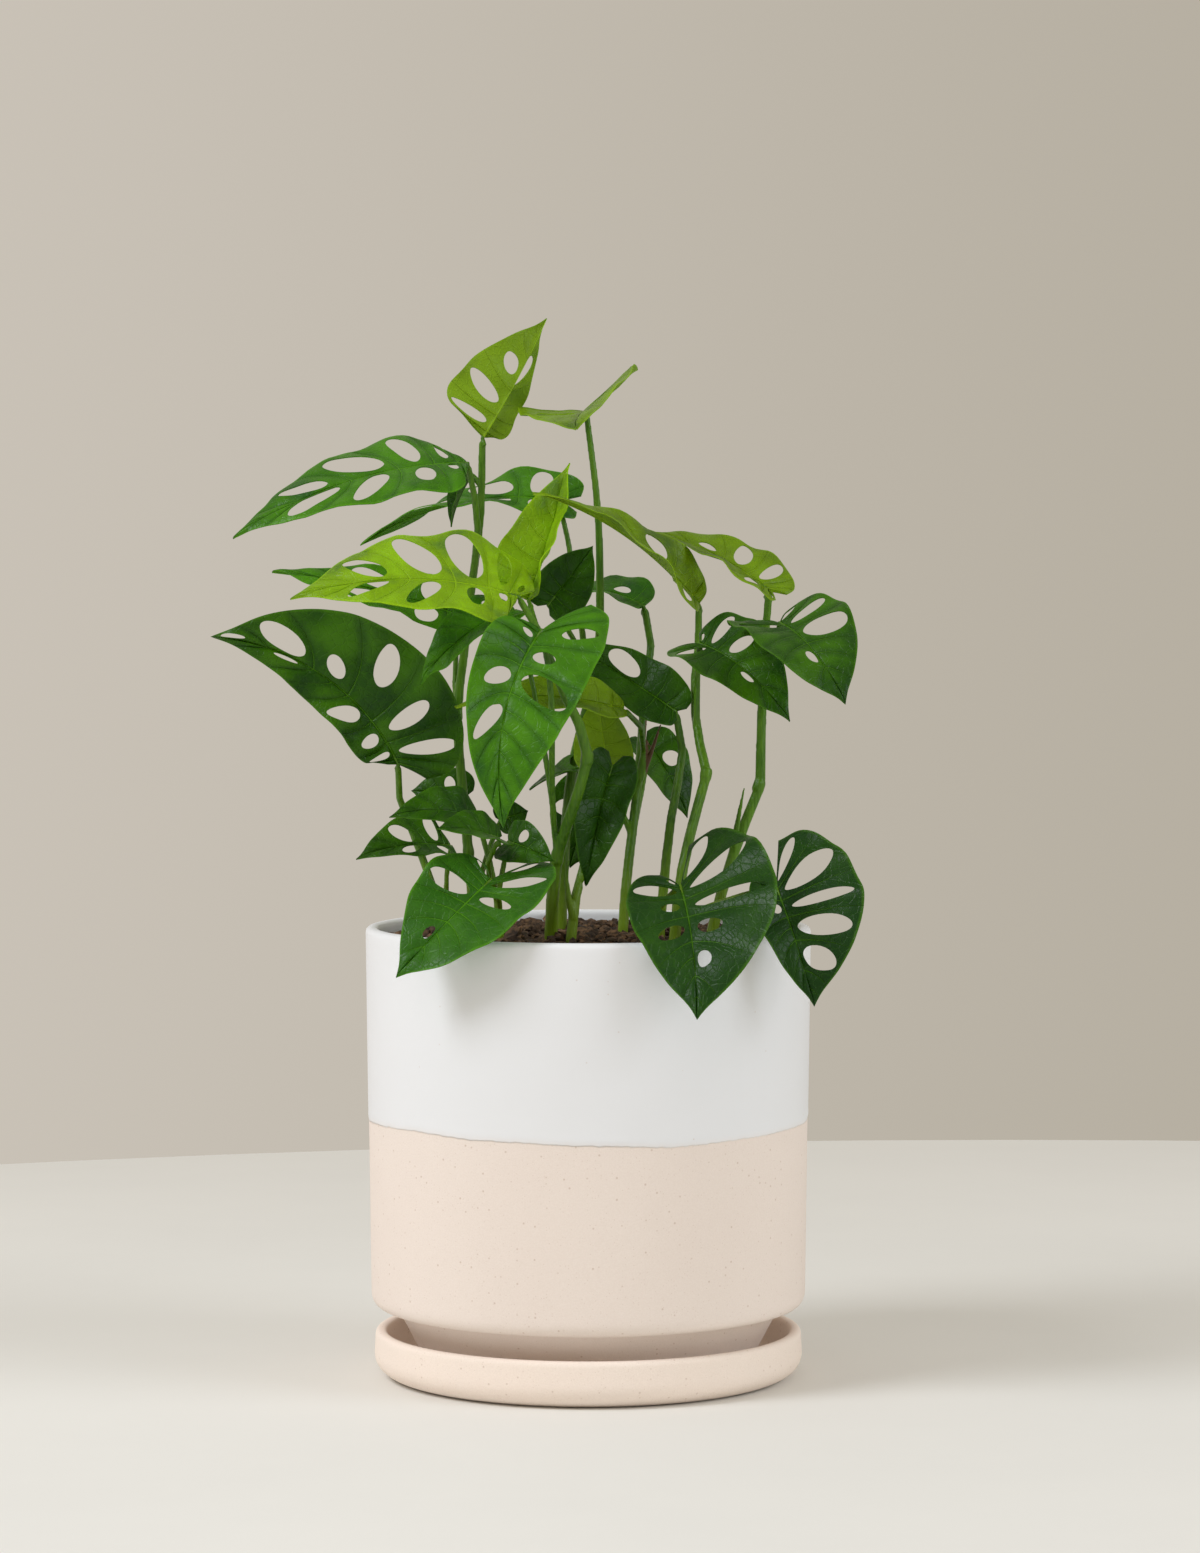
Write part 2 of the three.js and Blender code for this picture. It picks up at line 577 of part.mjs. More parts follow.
let mix = solidOf(turned(mixOutline()).translate(0, 0, potBase));
for (const [name, stalks] of Object.entries(shoots)) {
  let shoot = null;
  for (const [thickness, ...stops] of stalks) {
    let stalk = tube(stemPath(stops), thickness);
    const leaf = blades[stops[stops.length - 1]];
    if (leaf) stalk = clearOf(stalk, leaf);
    shoot = shoot ? shoot.add(stalk) : stalk;
  }
  const [[foot, top], [x, y, z], ...rest] = stalks[0];
  const socket = stemPath([[x, y, z - clearance], ...rest]);
  mix = mix.subtract(tube(socket, [foot + socketRoom, top + socketRoom]));
  add(name, geometryOf(shoot), material(0x6d9440, 0.5));
}
add('potting_mix', geometryOf(mix), material(0x4a2f22, 0.95));

for (const [name, leaf] of Object.entries(blades)) {
  add(name, bladeGeometry(leaf), material(leaf.tint, 0.4));
}

export default object;
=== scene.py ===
import math
from dataclasses import dataclass

import bmesh
import bpy
import numpy as np
from bpy.props import FloatProperty, FloatVectorProperty, IntProperty, PointerProperty
from mathutils import Matrix, Vector, noise


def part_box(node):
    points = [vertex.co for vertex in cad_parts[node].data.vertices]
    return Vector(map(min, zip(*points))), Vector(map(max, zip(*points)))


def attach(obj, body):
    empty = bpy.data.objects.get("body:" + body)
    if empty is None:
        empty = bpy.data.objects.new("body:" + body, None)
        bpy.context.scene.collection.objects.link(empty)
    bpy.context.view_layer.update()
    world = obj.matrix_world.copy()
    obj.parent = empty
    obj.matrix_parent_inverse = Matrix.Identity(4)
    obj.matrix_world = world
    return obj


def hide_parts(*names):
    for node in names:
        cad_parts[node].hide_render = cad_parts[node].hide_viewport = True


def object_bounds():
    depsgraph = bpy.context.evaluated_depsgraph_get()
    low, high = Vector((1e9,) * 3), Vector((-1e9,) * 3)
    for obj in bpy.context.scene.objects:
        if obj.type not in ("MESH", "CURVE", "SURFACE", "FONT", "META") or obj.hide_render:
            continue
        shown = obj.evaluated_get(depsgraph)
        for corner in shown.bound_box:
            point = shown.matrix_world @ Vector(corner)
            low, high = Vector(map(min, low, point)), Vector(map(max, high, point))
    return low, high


bl_info = {
    "name": "Potted monstera",
    "version": (1, 0, 0),
    "blender": (4, 5, 0),
    "location": "3D View > Sidebar > Monstera",
    "description": "Builds a potted monstera: pot, saucer, potting mix, stems, leaves and stage",
    "category": "Object",
}

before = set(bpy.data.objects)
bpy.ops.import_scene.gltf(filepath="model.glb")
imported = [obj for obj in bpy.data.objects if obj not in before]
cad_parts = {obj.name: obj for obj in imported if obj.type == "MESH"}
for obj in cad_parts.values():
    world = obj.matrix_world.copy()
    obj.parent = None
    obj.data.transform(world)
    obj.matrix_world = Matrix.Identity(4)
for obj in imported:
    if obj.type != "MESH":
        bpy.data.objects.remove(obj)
cad_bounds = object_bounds()

MM = 0.001
BODY = "root"
TINTS = ("lime", "fresh", "green", "deep")


# ---- Sizes and colours that a user may change ----


def size_setting(name, description, default):
    return FloatProperty(name=name, description=description, default=default, unit="LENGTH")


def colour_setting(name, description, default):
    return FloatVectorProperty(
        name=name, description=description, default=(*default, 1), size=4,
        subtype="COLOR", min=0, max=1,
    )


class PotSettings(bpy.types.PropertyGroup):
    wall: size_setting("Wall", "Thickness of the pot's wall", 5.5 * MM)
    taper: size_setting("Taper", "How much narrower the body is at its foot", 2 * MM)
    corner: size_setting("Corner", "Rounding at the bottom of the body", 6 * MM)
    foot_inset: size_setting(
        "Foot inset", "How far the foot's top stands in from the body", 13 * MM
    )
    foot_taper: size_setting(
        "Foot taper", "How much narrower the foot is at its base", 12 * MM
    )
    foot_height: size_setting("Foot height", "Height of the foot", 23 * MM)
    floor: size_setting("Floor", "Thickness of the pot's floor", 8 * MM)
    drain: size_setting("Drain hole", "Radius of the hole in the pot's floor", 8 * MM)
    dip_height: size_setting(
        "Dip line", "Height of the glaze's lower edge above the pot's base", 103.5 * MM
    )
    dip_wave: size_setting(
        "Dip wave", "How far the glaze's edge wanders up and down", 1.6 * MM
    )
    glaze_depth: size_setting(
        "Glaze depth", "How far the glaze stands proud of the clay", 0.28 * MM
    )
    glaze_colour: colour_setting("Glaze", "Colour of the glaze", (0.85, 0.86, 0.885))
    clay_colour: colour_setting("Clay", "Colour of the bare clay", (0.88, 0.775, 0.705))
    speckle_colour: colour_setting(
        "Speckle", "Colour of the iron specks in the clay", (0.5, 0.34, 0.24)
    )


class SaucerSettings(bpy.types.PropertyGroup):
    wall: size_setting("Wall", "Thickness of the saucer's wall", 5.5 * MM)
    floor: size_setting("Floor", "Thickness of the saucer's floor", 6 * MM)
    undercut: size_setting(
        "Undercut", "How far the underside stands in from the widest part", 9.5 * MM
    )
    clay_colour: colour_setting("Clay", "Colour of the saucer's clay", (0.96, 0.835, 0.74))
    speckle_colour: colour_setting(
        "Speckle", "Colour of the iron specks in the clay", (0.5, 0.34, 0.24)
    )


class MixSettings(bpy.types.PropertyGroup):
    chips: IntProperty(
        name="Bark chips", description="How many pieces of bark lie on the mix",
        default=1500, min=0,
    )
    crumbs: size_setting("Crumbs", "Height of the crumbs between the chips", 1.1 * MM)
    dark_colour: colour_setting("Dark", "Colour of the damp mix", (0.022, 0.012, 0.007))
    bark_colour: colour_setting("Bark", "Colour of the driest bark", (0.3, 0.165, 0.08))


class StemSettings(bpy.types.PropertyGroup):
    detail: size_setting(
        "Detail", "Size of the facets that the stems are rounded with", 0.5 * MM
    )
    rounding: IntProperty(
        name="Rounding", description="How often the stems are smoothed", default=16, min=0
    )
    green: colour_setting("Green", "Colour of a grown stem", (0.028, 0.1, 0.003))
    pale: colour_setting("Pale", "Colour of the streaks", (0.11, 0.25, 0.007))
    young: colour_setting("Young", "Colour of a stem close above the mix", (0.22, 0.32, 0.01))
    dry: colour_setting("Dry", "Colour of a dried sheath", (0.085, 0.042, 0.012))


class LeafSettings(bpy.types.PropertyGroup):
    thickness: size_setting("Thickness", "Thickness of a blade", 0.5 * MM)
    quilting: size_setting(
        "Quilting", "How far a blade swells up between two side veins", 1.5 * MM
    )
    rib: size_setting("Midrib", "How far the midrib stands out under a blade", 0.8 * MM)
    lime: colour_setting("Lime", "Colour of the youngest leaves", (0.27, 0.45, 0.003))
    fresh: colour_setting("Fresh", "Colour of young leaves", (0.2, 0.33, 0.004))
    green: colour_setting("Green", "Colour of grown leaves", (0.066, 0.23, 0.004))
    deep: colour_setting("Deep", "Colour of the oldest leaves", (0.035, 0.125, 0.002))


class StageSettings(bpy.types.PropertyGroup):
    floor_radius: size_setting("Floor", "Radius of the round floor", 1.6)
    floor_colour: colour_setting("Floor colour", "Colour of the floor", (0.83, 0.82, 0.785))
    wall_colour: colour_setting(
        "Wall colour", "Colour of the room's lit side", (0.6, 0.552, 0.485)
    )
    shade_colour: colour_setting(
        "Shade colour", "Colour of the room's shaded side", (0.46, 0.42, 0.35)
    )
    key_power: FloatProperty(
        name="Key light", description="Power of the large soft light", default=30,
        unit="POWER",
    )
    camera_distance: size_setting(
        "Camera distance", "From the pot's axis to the camera", 2
    )
    camera_height: size_setting(
        "Camera height", "Height of the camera above the floor", 0.35
    )
    lens: FloatProperty(
        name="Lens", description="Focal length in millimetres", default=140.85
    )


# ---- Meshes ----


def mesh_object(name, vertices, faces, material, sharp_angle=50):
    """A smooth-shaded mesh with its own material, sharp where two faces meet at an angle."""
    mesh = bpy.data.meshes.new(name)
    mesh.from_pydata([tuple(v) for v in vertices], [], [tuple(f) for f in faces])
    mesh.shade_smooth()
    mesh.set_sharp_from_angle(angle=math.radians(sharp_angle))
    mesh.materials.append(material)
    made = bpy.data.objects.new(name, mesh)
    bpy.context.scene.collection.objects.link(made)
    return made


def store(mesh, name, values):
    """Keeps one number or one vector for each vertex, for the materials to read."""
    values = np.asarray(values, np.float32)
    kind, key = ("FLOAT", "value") if values.ndim == 1 else ("FLOAT_VECTOR", "vector")
    attribute = mesh.attributes.new(name, kind, "POINT")
    attribute.data.foreach_set(key, values.ravel())


def place_piece(piece, slot, *nodes):
    """Ties a piece to its body and hides the nodes that it stands for. slot is not used."""
    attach(piece, BODY)
    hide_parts(*nodes)


def smoothstep(value):
    value = np.clip(value, 0, 1)
    return value * value * (3 - 2 * value)


def curve(start, pull, end, t):
    """The point at t of a curve that leaves start towards pull and arrives at end from it."""
    return (1 - t) ** 2 * start + 2 * t * (1 - t) * pull + t * t * end


def rounded(corners, steps=6):
    """An outline through corners of (radius, height, rounding), each rounded by its own size."""
    outline = []
    for i, (*corner, rounding) in enumerate(corners):
        corner = np.array(corner)
        if rounding == 0:
            outline.append(corner)
            continue
        before = np.array(corners[i - 1][:2]) - corner
        after = np.array(corners[(i + 1) % len(corners)][:2]) - corner
        start = corner + before / np.linalg.norm(before) * rounding
        end = corner + after / np.linalg.norm(after) * rounding
        outline += [curve(start, corner, end, t) for t in np.linspace(0, 1, steps + 1)]
    return outline


def refined(outline, longest, closed=True):
    """The same outline with no step longer than this. A closed one returns to its start."""
    fine = []
    ends = outline[1:] + outline[:1] if closed else outline[1:]
    for start, end in zip(outline, ends):
        count = max(1, math.ceil(np.linalg.norm(end - start) / longest))
        fine += [start + (end - start) * i / count for i in range(count)]
    return np.array(fine if closed else fine + [outline[-1]])


def turned(outline, steps, on_axis=False):
    """Vertices and faces of an outline of (radius, height) turned about Z. It is closed, or
    with on_axis its ends lie on the axis, and each of them is one vertex."""
    angles = np.linspace(0, 2 * math.pi, steps, endpoint=False)
    rings = outline[1:-1] if on_axis else outline
    radii, heights = rings[:, 0:1], rings[:, 1:2]
    vertices = np.stack(
        [radii * np.cos(angles), radii * np.sin(angles), heights + 0 * angles], axis=2
    ).reshape(-1, 3)
    count = len(rings)
    faces = []
    for i in range(count - 1 if on_axis else count):
        j = (i + 1) % count
        for k in range(steps):
            m = (k + 1) % steps
            faces.append((i * steps + k, i * steps + m, j * steps + m, j * steps + k))
    if on_axis:
        ends = [[0, 0, outline[0, 1]], [0, 0, outline[-1, 1]]]
        vertices = np.concatenate([vertices, ends])
        first, last = len(vertices) - 2, len(vertices) - 1
        for k in range(steps):
            m = (k + 1) % steps
            faces.append((first, m, k))
            faces.append((last, (count - 1) * steps + k, (count - 1) * steps + m))
    return vertices, faces


# ---- Shader helpers ----


def shader_node(tree, kind, inputs=None, **settings):
    """Adds a node. An input's value is a plain value or another node's output."""
    made = tree.nodes.new(kind)
    for key, value in settings.items():
        setattr(made, key, value)
    for key, value in (inputs or {}).items():
        if isinstance(value, bpy.types.NodeSocket):
            tree.links.new(value, made.inputs[key])
        else:
            made.inputs[key].default_value = value
    return made


def calc(tree, operation, first, second):
    made = shader_node(tree, "ShaderNodeMath", {0: first, 1: second}, operation=operation)
    return made.outputs[0]


def times(tree, first, second):
    return calc(tree, "MULTIPLY", first, second)


def plus(tree, first, second):
    return calc(tree, "ADD", first, second)


def blend(tree, share, first, second, kind="MIX"):
    made = shader_node(
        tree, "ShaderNodeMix", {0: share, 6: first, 7: second}, data_type="RGBA",
        blend_type=kind,
    )
    return made.outputs[2]


def step_between(tree, value, low, high, bottom=0.0, top=1.0):
    """Bottom below low, top above high and a soft step between them."""
    made = shader_node(
        tree, "ShaderNodeMapRange",
        {"Value": value, "From Min": low, "From Max": high, "To Min": bottom, "To Max": top},
        interpolation_type="SMOOTHSTEP",
    )
    return made.outputs[0]


def stored(tree, name):
    return shader_node(tree, "ShaderNodeAttribute", attribute_name=name)


def cloud(tree, place, scale, detail=4.0, roughness=0.55):
    made = shader_node(
        tree, "ShaderNodeTexNoise",
        {"Vector": place, "Scale": scale, "Detail": detail, "Roughness": roughness},
    )
    return made.outputs["Fac"]


def effect(name, inputs, outputs, build):
    """A node group, made once. build takes the group and its inputs by name, and returns its
    outputs by name."""
    if name in bpy.data.node_groups:
        return bpy.data.node_groups[name]
    group = bpy.data.node_groups.new(name, "ShaderNodeTree")
    for label, value in inputs.items():
        kind = "NodeSocketFloat" if isinstance(value, float) else "NodeSocketColor"
        socket = group.interface.new_socket(name=label, in_out="INPUT", socket_type=kind)
        socket.default_value = value
    for label, kind in outputs.items():
        group.interface.new_socket(
            name=label, in_out="OUTPUT", socket_type="NodeSocket" + kind
        )
    entry = group.nodes.new("NodeGroupInput")
    results = build(group, {label: entry.outputs[label] for label in inputs})
    leave = group.nodes.new("NodeGroupOutput")
    for label, socket in results.items():
        group.links.new(socket, leave.inputs[label])
    return group


def use_effect(tree, group, **values):
    return shader_node(tree, "ShaderNodeGroup", values, node_tree=group).outputs


def new_material(name, shine=0.5):
    """A material with an empty tree, its output node and a Principled shader in it."""
    material = bpy.data.materials.new(name)
    material.use_nodes = True
    tree = material.node_tree
    tree.nodes.clear()
    skin = shader_node(tree, "ShaderNodeBsdfPrincipled", {"Specular IOR Level": shine})
    output = tree.nodes.new("ShaderNodeOutputMaterial")
    tree.links.new(skin.outputs[0], output.inputs["Surface"])
    return material, tree, skin, output


def finish_skin(tree, skin, colour, roughness, height, depth):
    """Feeds a Principled shader and its bump, and returns the bumpy normal. depth is the
    height of the bump in metres."""
    bump = shader_node(
        tree, "ShaderNodeBump", {"Height": height, "Distance": depth, "Strength": 1.0}
    )
    tree.links.new(colour, skin.inputs["Base Color"])
    tree.links.new(roughness, skin.inputs["Roughness"])
    tree.links.new(bump.outputs[0], skin.inputs["Normal"])
    return bump.outputs[0]


# ---- Effects that several materials use ----


def object_place(tree):
    return tree.nodes.new("ShaderNodeTexCoord").outputs["Object"]


def clay_effect():
    """Bare stoneware: a faint cloudiness, fine grain and iron specks of uneven size."""
    cloud_colour = (0.91, 0.82, 0.75, 1)
    grain_colour = (0.66, 0.53, 0.44, 1)
    # Small and fine specks: how many to a metre, how rare they are, and how dark.
    specks = ((420.0, 0.8, 0.75), (900.0, 0.72, 0.5))

    def build(group, given):
        place = object_place(group)
        cloudy = cloud(group, place, 22.0)
        cloudiness = step_between(group, cloudy, 0.3, 0.7, 0.0, 0.22)
        colour = blend(group, cloudiness, given["Clay"], cloud_colour)
        pits = 0.0
        for size, rarity, darkness in specks:
            cells = shader_node(
                group, "ShaderNodeTexVoronoi", {"Vector": place, "Scale": size}
            )
            drawn = shader_node(
                group, "ShaderNodeSeparateColor", {0: cells.outputs["Color"]}
            )
            spot = step_between(group, cells.outputs["Distance"], 0.1, 0.26, 1.0, 0.0)
            chosen = step_between(group, drawn.outputs[0], rarity, rarity + 0.08)
            amount = times(group, times(group, spot, chosen), darkness)
            amount = times(group, amount, given["Speckling"])
            colour = blend(group, amount, colour, given["Speckle"])
            pits = plus(group, amount, pits)
        grain = cloud(group, place, 1500.0, 2.0)
        graininess = step_between(group, grain, 0.35, 0.65, 0.0, 0.1)
        colour = blend(group, graininess, colour, grain_colour)
        return {
            "Colour": colour,
            "Roughness": step_between(group, cloudy, 0.3, 0.7, 0.78, 0.9),
            "Height": calc(group, "SUBTRACT", grain, times(group, pits, 0.6)),
        }

    return effect(
        "Bare clay",
        {"Clay": (0.76, 0.62, 0.52, 1), "Speckle": (0.36, 0.2, 0.12, 1), "Speckling": 1.0},
        {"Colour": "Color", "Roughness": "Float", "Height": "Float"},
        build,
    )


def leaf_effect():
    """A blade's skin: pale midrib and side veins, a fine net between them, a cloudiness that
    darkens it in patches, and painted shade that darkens it towards its side veins. The
    underside is paler and duller."""
    fleck_colour = (0.2, 0.3, 0.05, 1)

    def line(group, distance, share, thinning, width, soft):
        """1 on a vein whose width shrinks as share grows, and 0 beside it."""
        width = times(group, calc(group, "SUBTRACT", thinning, share), width)
        return step_between(group, calc(group, "DIVIDE", distance, width), *soft, 1.0, 0.0)

    def build(group, given):
        to_vein = stored(group, "to_vein").outputs["Fac"]
        to_rib = stored(group, "to_rib").outputs["Fac"]
        under = stored(group, "underside").outputs["Fac"]
        flat = stored(group, "flat").outputs["Vector"]
        place = stored(group, "place").outputs["Vector"]
        column, share, tone = shader_node(group, "ShaderNodeSeparateXYZ", {0: place}).outputs
        rib = line(group, to_rib, share, 1.08, 0.95, (0.35, 1.0))
        vein = line(group, to_vein, column, 1.1, 0.48, (0.3, 1.1))
        veins = calc(group, "MAXIMUM", rib, times(group, vein, 0.7))
        net = shader_node(
            group, "ShaderNodeTexVoronoi", {"Vector": flat, "Scale": 0.3},
            feature="DISTANCE_TO_EDGE",
        )
        threads = step_between(group, net.outputs["Distance"], 0.0, 0.09, 1.0, 0.0)
        wide = cloud(group, flat, 0.05, 3.0)
        fine = cloud(group, flat, 0.9, 3.0)
        paling = step_between(group, wide, 0.4, 0.68, 0.0, 0.65)
        upper = blend(group, paling, given["Leaf"], given["Vein"])
        dull = step_between(group, wide, 0.25, 0.52, 0.7, 0.0)
        # Painted shade: the skin darkens towards each side vein, where it sinks between its
        # swellings. This shade joins the darker patches and the blade's own darkness, all mixed
        # towards the dark colour.
        vein_shade = step_between(group, to_vein, 0.0, 3.4, 0.4, 0.0)
        shade = calc(group, "MAXIMUM", dull, times(group, vein_shade, given["Depth"]))
        shade = calc(group, "MAXIMUM", shade, times(group, tone, 0.65))
        upper = blend(group, shade, upper, given["Groove"])
        upper = blend(group, times(group, fine, 0.3), upper, fleck_colour, "OVERLAY")
        lower = blend(group, 0.45, upper, given["Under"])
        colour = blend(group, under, upper, lower)
        colour = blend(group, times(group, threads, 0.1), colour, given["Vein"])
        margin = step_between(group, column, 0.95, 1.0, 0.0, 0.55)
        lines = calc(group, "MAXIMUM", times(group, veins, 0.7), margin)
        rough = step_between(group, fine, 0.3, 0.7, 0.26, 0.38)
        sunk = plus(group, veins, times(group, threads, 0.22))
        facing = step_between(group, under, 0.0, 1.0, -1.0, 1.0)
        return {
            "Colour": blend(group, lines, colour, given["Vein"]),
            "Roughness": plus(group, rough, times(group, under, 0.16)),
            "Height": plus(group, times(group, sunk, facing), times(group, fine, 0.3)),
        }

    return effect(
        "Leaf skin",
        {"Leaf": (0.05, 0.15, 0.03, 1), "Vein": (0.2, 0.36, 0.1, 1),
         "Under": (0.2, 0.32, 0.12, 1), "Groove": (0.01, 0.03, 0.001, 1), "Depth": 1.0},
        {"Colour": "Color", "Roughness": "Float", "Height": "Float"},
        build,
    )


def mottle_effect():
    """Two colours in soft blotches, with the blotches as a height."""

    def build(group, given):
        place = object_place(group)
        stretch = shader_node(
            group, "ShaderNodeCombineXYZ",
            {"X": given["Across"], "Y": given["Across"], "Z": given["Upward"]},
        )
        scaled = shader_node(
            group, "ShaderNodeVectorMath", {0: place, 1: stretch.outputs[0]},
            operation="MULTIPLY",
        )
        blotches = cloud(group, scaled.outputs[0], 1.0, 5.0)
        share = step_between(group, blotches, 0.3, 0.7)
        return {"Colour": blend(group, share, given["First"], given["Second"]),
                "Height": blotches}

    return effect(
        "Mottle",
        {"First": (0.1, 0.1, 0.1, 1), "Second": (0.2, 0.2, 0.2, 1), "Across": 100.0,
         "Upward": 100.0},
        {"Colour": "Color", "Height": "Float"},
        build,
    )


# ---- Pot and saucer ----

POOLED_GLAZE = (0.81, 0.82, 0.84, 1)
# Turned pieces: the longest step along their outline, and the steps round them.
OUTLINE_STEP = 1.5 * MM
TURN_STEPS = 256
# The glaze thickens over EDGE_RISE above its lower edge, with a bead there: its share of the
# glaze's depth, its height above the edge and its width. The inside is glazed all over, as if
# it lay FULL_GLAZE above the edge.
EDGE_RISE = 1.8 * MM
BEAD_SHARE = 0.25
BEAD_HEIGHT = 2 * MM
BEAD_WIDTH = 1.3 * MM
FULL_GLAZE = 20 * MM


def pot_material(settings):
    material, tree, skin, _ = new_material("Dipped pot")
    clay = use_effect(tree, clay_effect(), Clay=settings.clay_colour,
                      Speckle=settings.speckle_colour, Speckling=0.6)
    place = object_place(tree)
    ragged = calc(tree, "SUBTRACT", cloud(tree, place, 260.0, 3.0), 0.5)
    over = plus(tree, stored(tree, "over_line").outputs["Fac"], times(tree, ragged, 1.2))
    glazed = step_between(tree, over, -0.35, 0.55)
    cover = step_between(tree, over, 0.0, 3.0, 0.82, 1.0)
    pooled = cloud(tree, place, 14.0, 3.0)
    pooling = step_between(tree, pooled, 0.35, 0.65, 0.0, 0.25)
    glaze = blend(tree, pooling, settings.glaze_colour, POOLED_GLAZE)
    glaze = blend(tree, cover, settings.clay_colour, glaze)
    pins = shader_node(tree, "ShaderNodeTexVoronoi", {"Vector": place, "Scale": 230.0})
    drawn = shader_node(tree, "ShaderNodeSeparateColor", {0: pins.outputs["Color"]})
    pin = times(
        tree,
        step_between(tree, pins.outputs["Distance"], 0.04, 0.11, 1.0, 0.0),
        step_between(tree, drawn.outputs[0], 0.86, 0.9),
    )
    glaze = blend(tree, times(tree, pin, 0.3), glaze, settings.speckle_colour)
    glaze_rough = step_between(tree, pooled, 0.3, 0.7, 0.38, 0.5)
    fine = cloud(tree, place, 90.0, 2.0)
    ripple = plus(tree, times(tree, pooled, 2.5), times(tree, fine, 0.5))
    colour = blend(tree, glazed, clay["Colour"], glaze)
    rough = blend(tree, glazed, clay["Roughness"], glaze_rough)
    height = blend(tree, glazed, times(tree, clay["Height"], 0.35), ripple)
    finish_skin(tree, skin, colour, rough, height, 0.3 * MM)
    return material


def saucer_material(settings):
    material, tree, skin, _ = new_material("Saucer clay")
    clay = use_effect(tree, clay_effect(), Clay=settings.clay_colour,
                      Speckle=settings.speckle_colour, Speckling=0.5)
    finish_skin(tree, skin, clay["Colour"], clay["Roughness"], clay["Height"], 0.12 * MM)
    return material


def dip_line(angle, settings):
    """Height of the glaze's lower edge round the pot, above the pot's base."""
    wave = (
        0.55 * np.sin(2 * angle + 0.6)
        + 0.3 * np.sin(3 * angle + 2.1)
        + 0.16 * np.sin(7 * angle + 0.4)
        + 0.1 * np.sin(13 * angle + 1.3)
    )
    return settings.dip_height + settings.dip_wave * wave


def pot_outline(settings, radius, height):
    """The pot's section from its drain hole outwards, over the rim and down inside."""
    foot_top = radius - settings.foot_inset
    foot = foot_top - settings.foot_taper
    inner = radius - settings.wall
    lip = settings.wall / 2
    return rounded([
        (settings.drain, 0, 0),
        (foot, 0, 1.2 * MM),
        (foot_top, settings.foot_height, 0.8 * MM),
        (radius - settings.taper, settings.foot_height + 1 * MM, settings.corner),
        (radius, height, lip),
        (inner, height, lip),
        (inner - settings.taper, settings.foot_height + 10 * MM, 12 * MM),
        (foot - 4 * MM, settings.floor, 3 * MM),
        (settings.drain, settings.floor, 0.8 * MM),
    ])


def saucer_outline(settings, radius, height):
    """The saucer's section from its axis outwards, over the rim and back to the axis."""
    inner = radius - settings.wall
    lip = settings.wall / 2 - 0.3 * MM
    base = np.array([radius - settings.undercut, 0])
    pull = np.array([radius, 0.12 * height])
    belly = np.array([radius, 0.5 * height])
    underside = [np.array([0, 0]), base]
    underside += [curve(base, pull, belly, t) for t in np.linspace(0, 1, 14)[1:]]
    rim = rounded([
        (*belly, 0),
        (radius - 0.5 * MM, height, lip),
        (inner, height, lip),
        (inner - 0.8 * MM, settings.floor, 8 * MM),
        (0, settings.floor, 0),
    ])
    return underside + rim[1:]


class BuildPot(bpy.types.Operator):
    """Turns the pot and dips its upper part in glaze"""

    bl_idname = "monstera.build_pot"
    bl_label = "Build pot"

    def execute(self, context):
        settings = context.scene.monstera_pot
        low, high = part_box("pot")
        outline = refined(pot_outline(settings, high.x, high.z - low.z), OUTLINE_STEP)
        vertices, faces = turned(outline, TURN_STEPS)
        angle = np.arctan2(vertices[:, 1], vertices[:, 0])
        over = vertices[:, 2] - dip_line(angle, settings)
        rim = np.argmax(outline[:, 1])
        over[np.arange(len(vertices)) // TURN_STEPS > rim] = FULL_GLAZE
        bead = np.exp(-(((over - BEAD_HEIGHT) / BEAD_WIDTH) ** 2))
        proud = settings.glaze_depth * (smoothstep(over / EDGE_RISE) + BEAD_SHARE * bead)
        outward = np.stack([np.cos(angle), np.sin(angle), 0 * angle], axis=1)
        vertices = vertices + outward * (proud - settings.glaze_depth)[:, None]
        vertices[:, 2] += low.z
        pot = mesh_object("pot_dipped", vertices, faces, pot_material(settings))
        store(pot.data, "over_line", over / MM)
        place_piece(pot, "white_glaze", "pot")
        return {"FINISHED"}


class BuildSaucer(bpy.types.Operator):
    """Turns the saucer"""

    bl_idname = "monstera.build_saucer"
    bl_label = "Build saucer"

    def execute(self, context):
        settings = context.scene.monstera_saucer
        low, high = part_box("saucer")
        outline = saucer_outline(settings, high.x, high.z - low.z)
        outline = refined(outline, OUTLINE_STEP, closed=False)
        vertices, faces = turned(outline, TURN_STEPS, on_axis=True)
        vertices[:, 2] += low.z
        saucer = mesh_object("saucer_clay", vertices, faces, saucer_material(settings))
        place_piece(saucer, "bare_stoneware", "saucer")
        return {"FINISHED"}


# ---- Potting mix ----

# The mix is heaped a little higher in the middle, and sinks between its crumbs.
HEAP = 3 * MM
SINK = 0.3 * MM
BOTTOM_RADIUS = 69 * MM
BOTTOM_CORNER = 33 * MM
MIX_RINGS = 75
MIX_STEPS = 220
# The share of the mix's surface, from its middle outwards, that chips fall on.
CHIP_SPREAD = 0.98
CHIP_SEED = 11


def mix_material(settings):
    material, tree, skin, _ = new_material("Bark mix")
    mottle = use_effect(tree, mottle_effect(), First=settings.dark_colour,
                        Second=settings.bark_colour, Across=420.0, Upward=420.0)
    fine = cloud(tree, object_place(tree), 2400.0, 4.0, 0.7)
    tone = stored(tree, "tone").outputs["Fac"]
    colour = blend(tree, tone, settings.dark_colour, mottle["Colour"])
    fibres = step_between(tree, fine, 0.55, 0.75, 0.0, 0.35)
    colour = blend(tree, fibres, colour, (0.3, 0.18, 0.1, 1))
    rough = step_between(tree, fine, 0.2, 0.8, 0.75, 1.0)
    height = plus(tree, times(tree, fine, 0.6), mottle["Height"])
    finish_skin(tree, skin, colour, rough, height, 0.6 * MM)
    return material


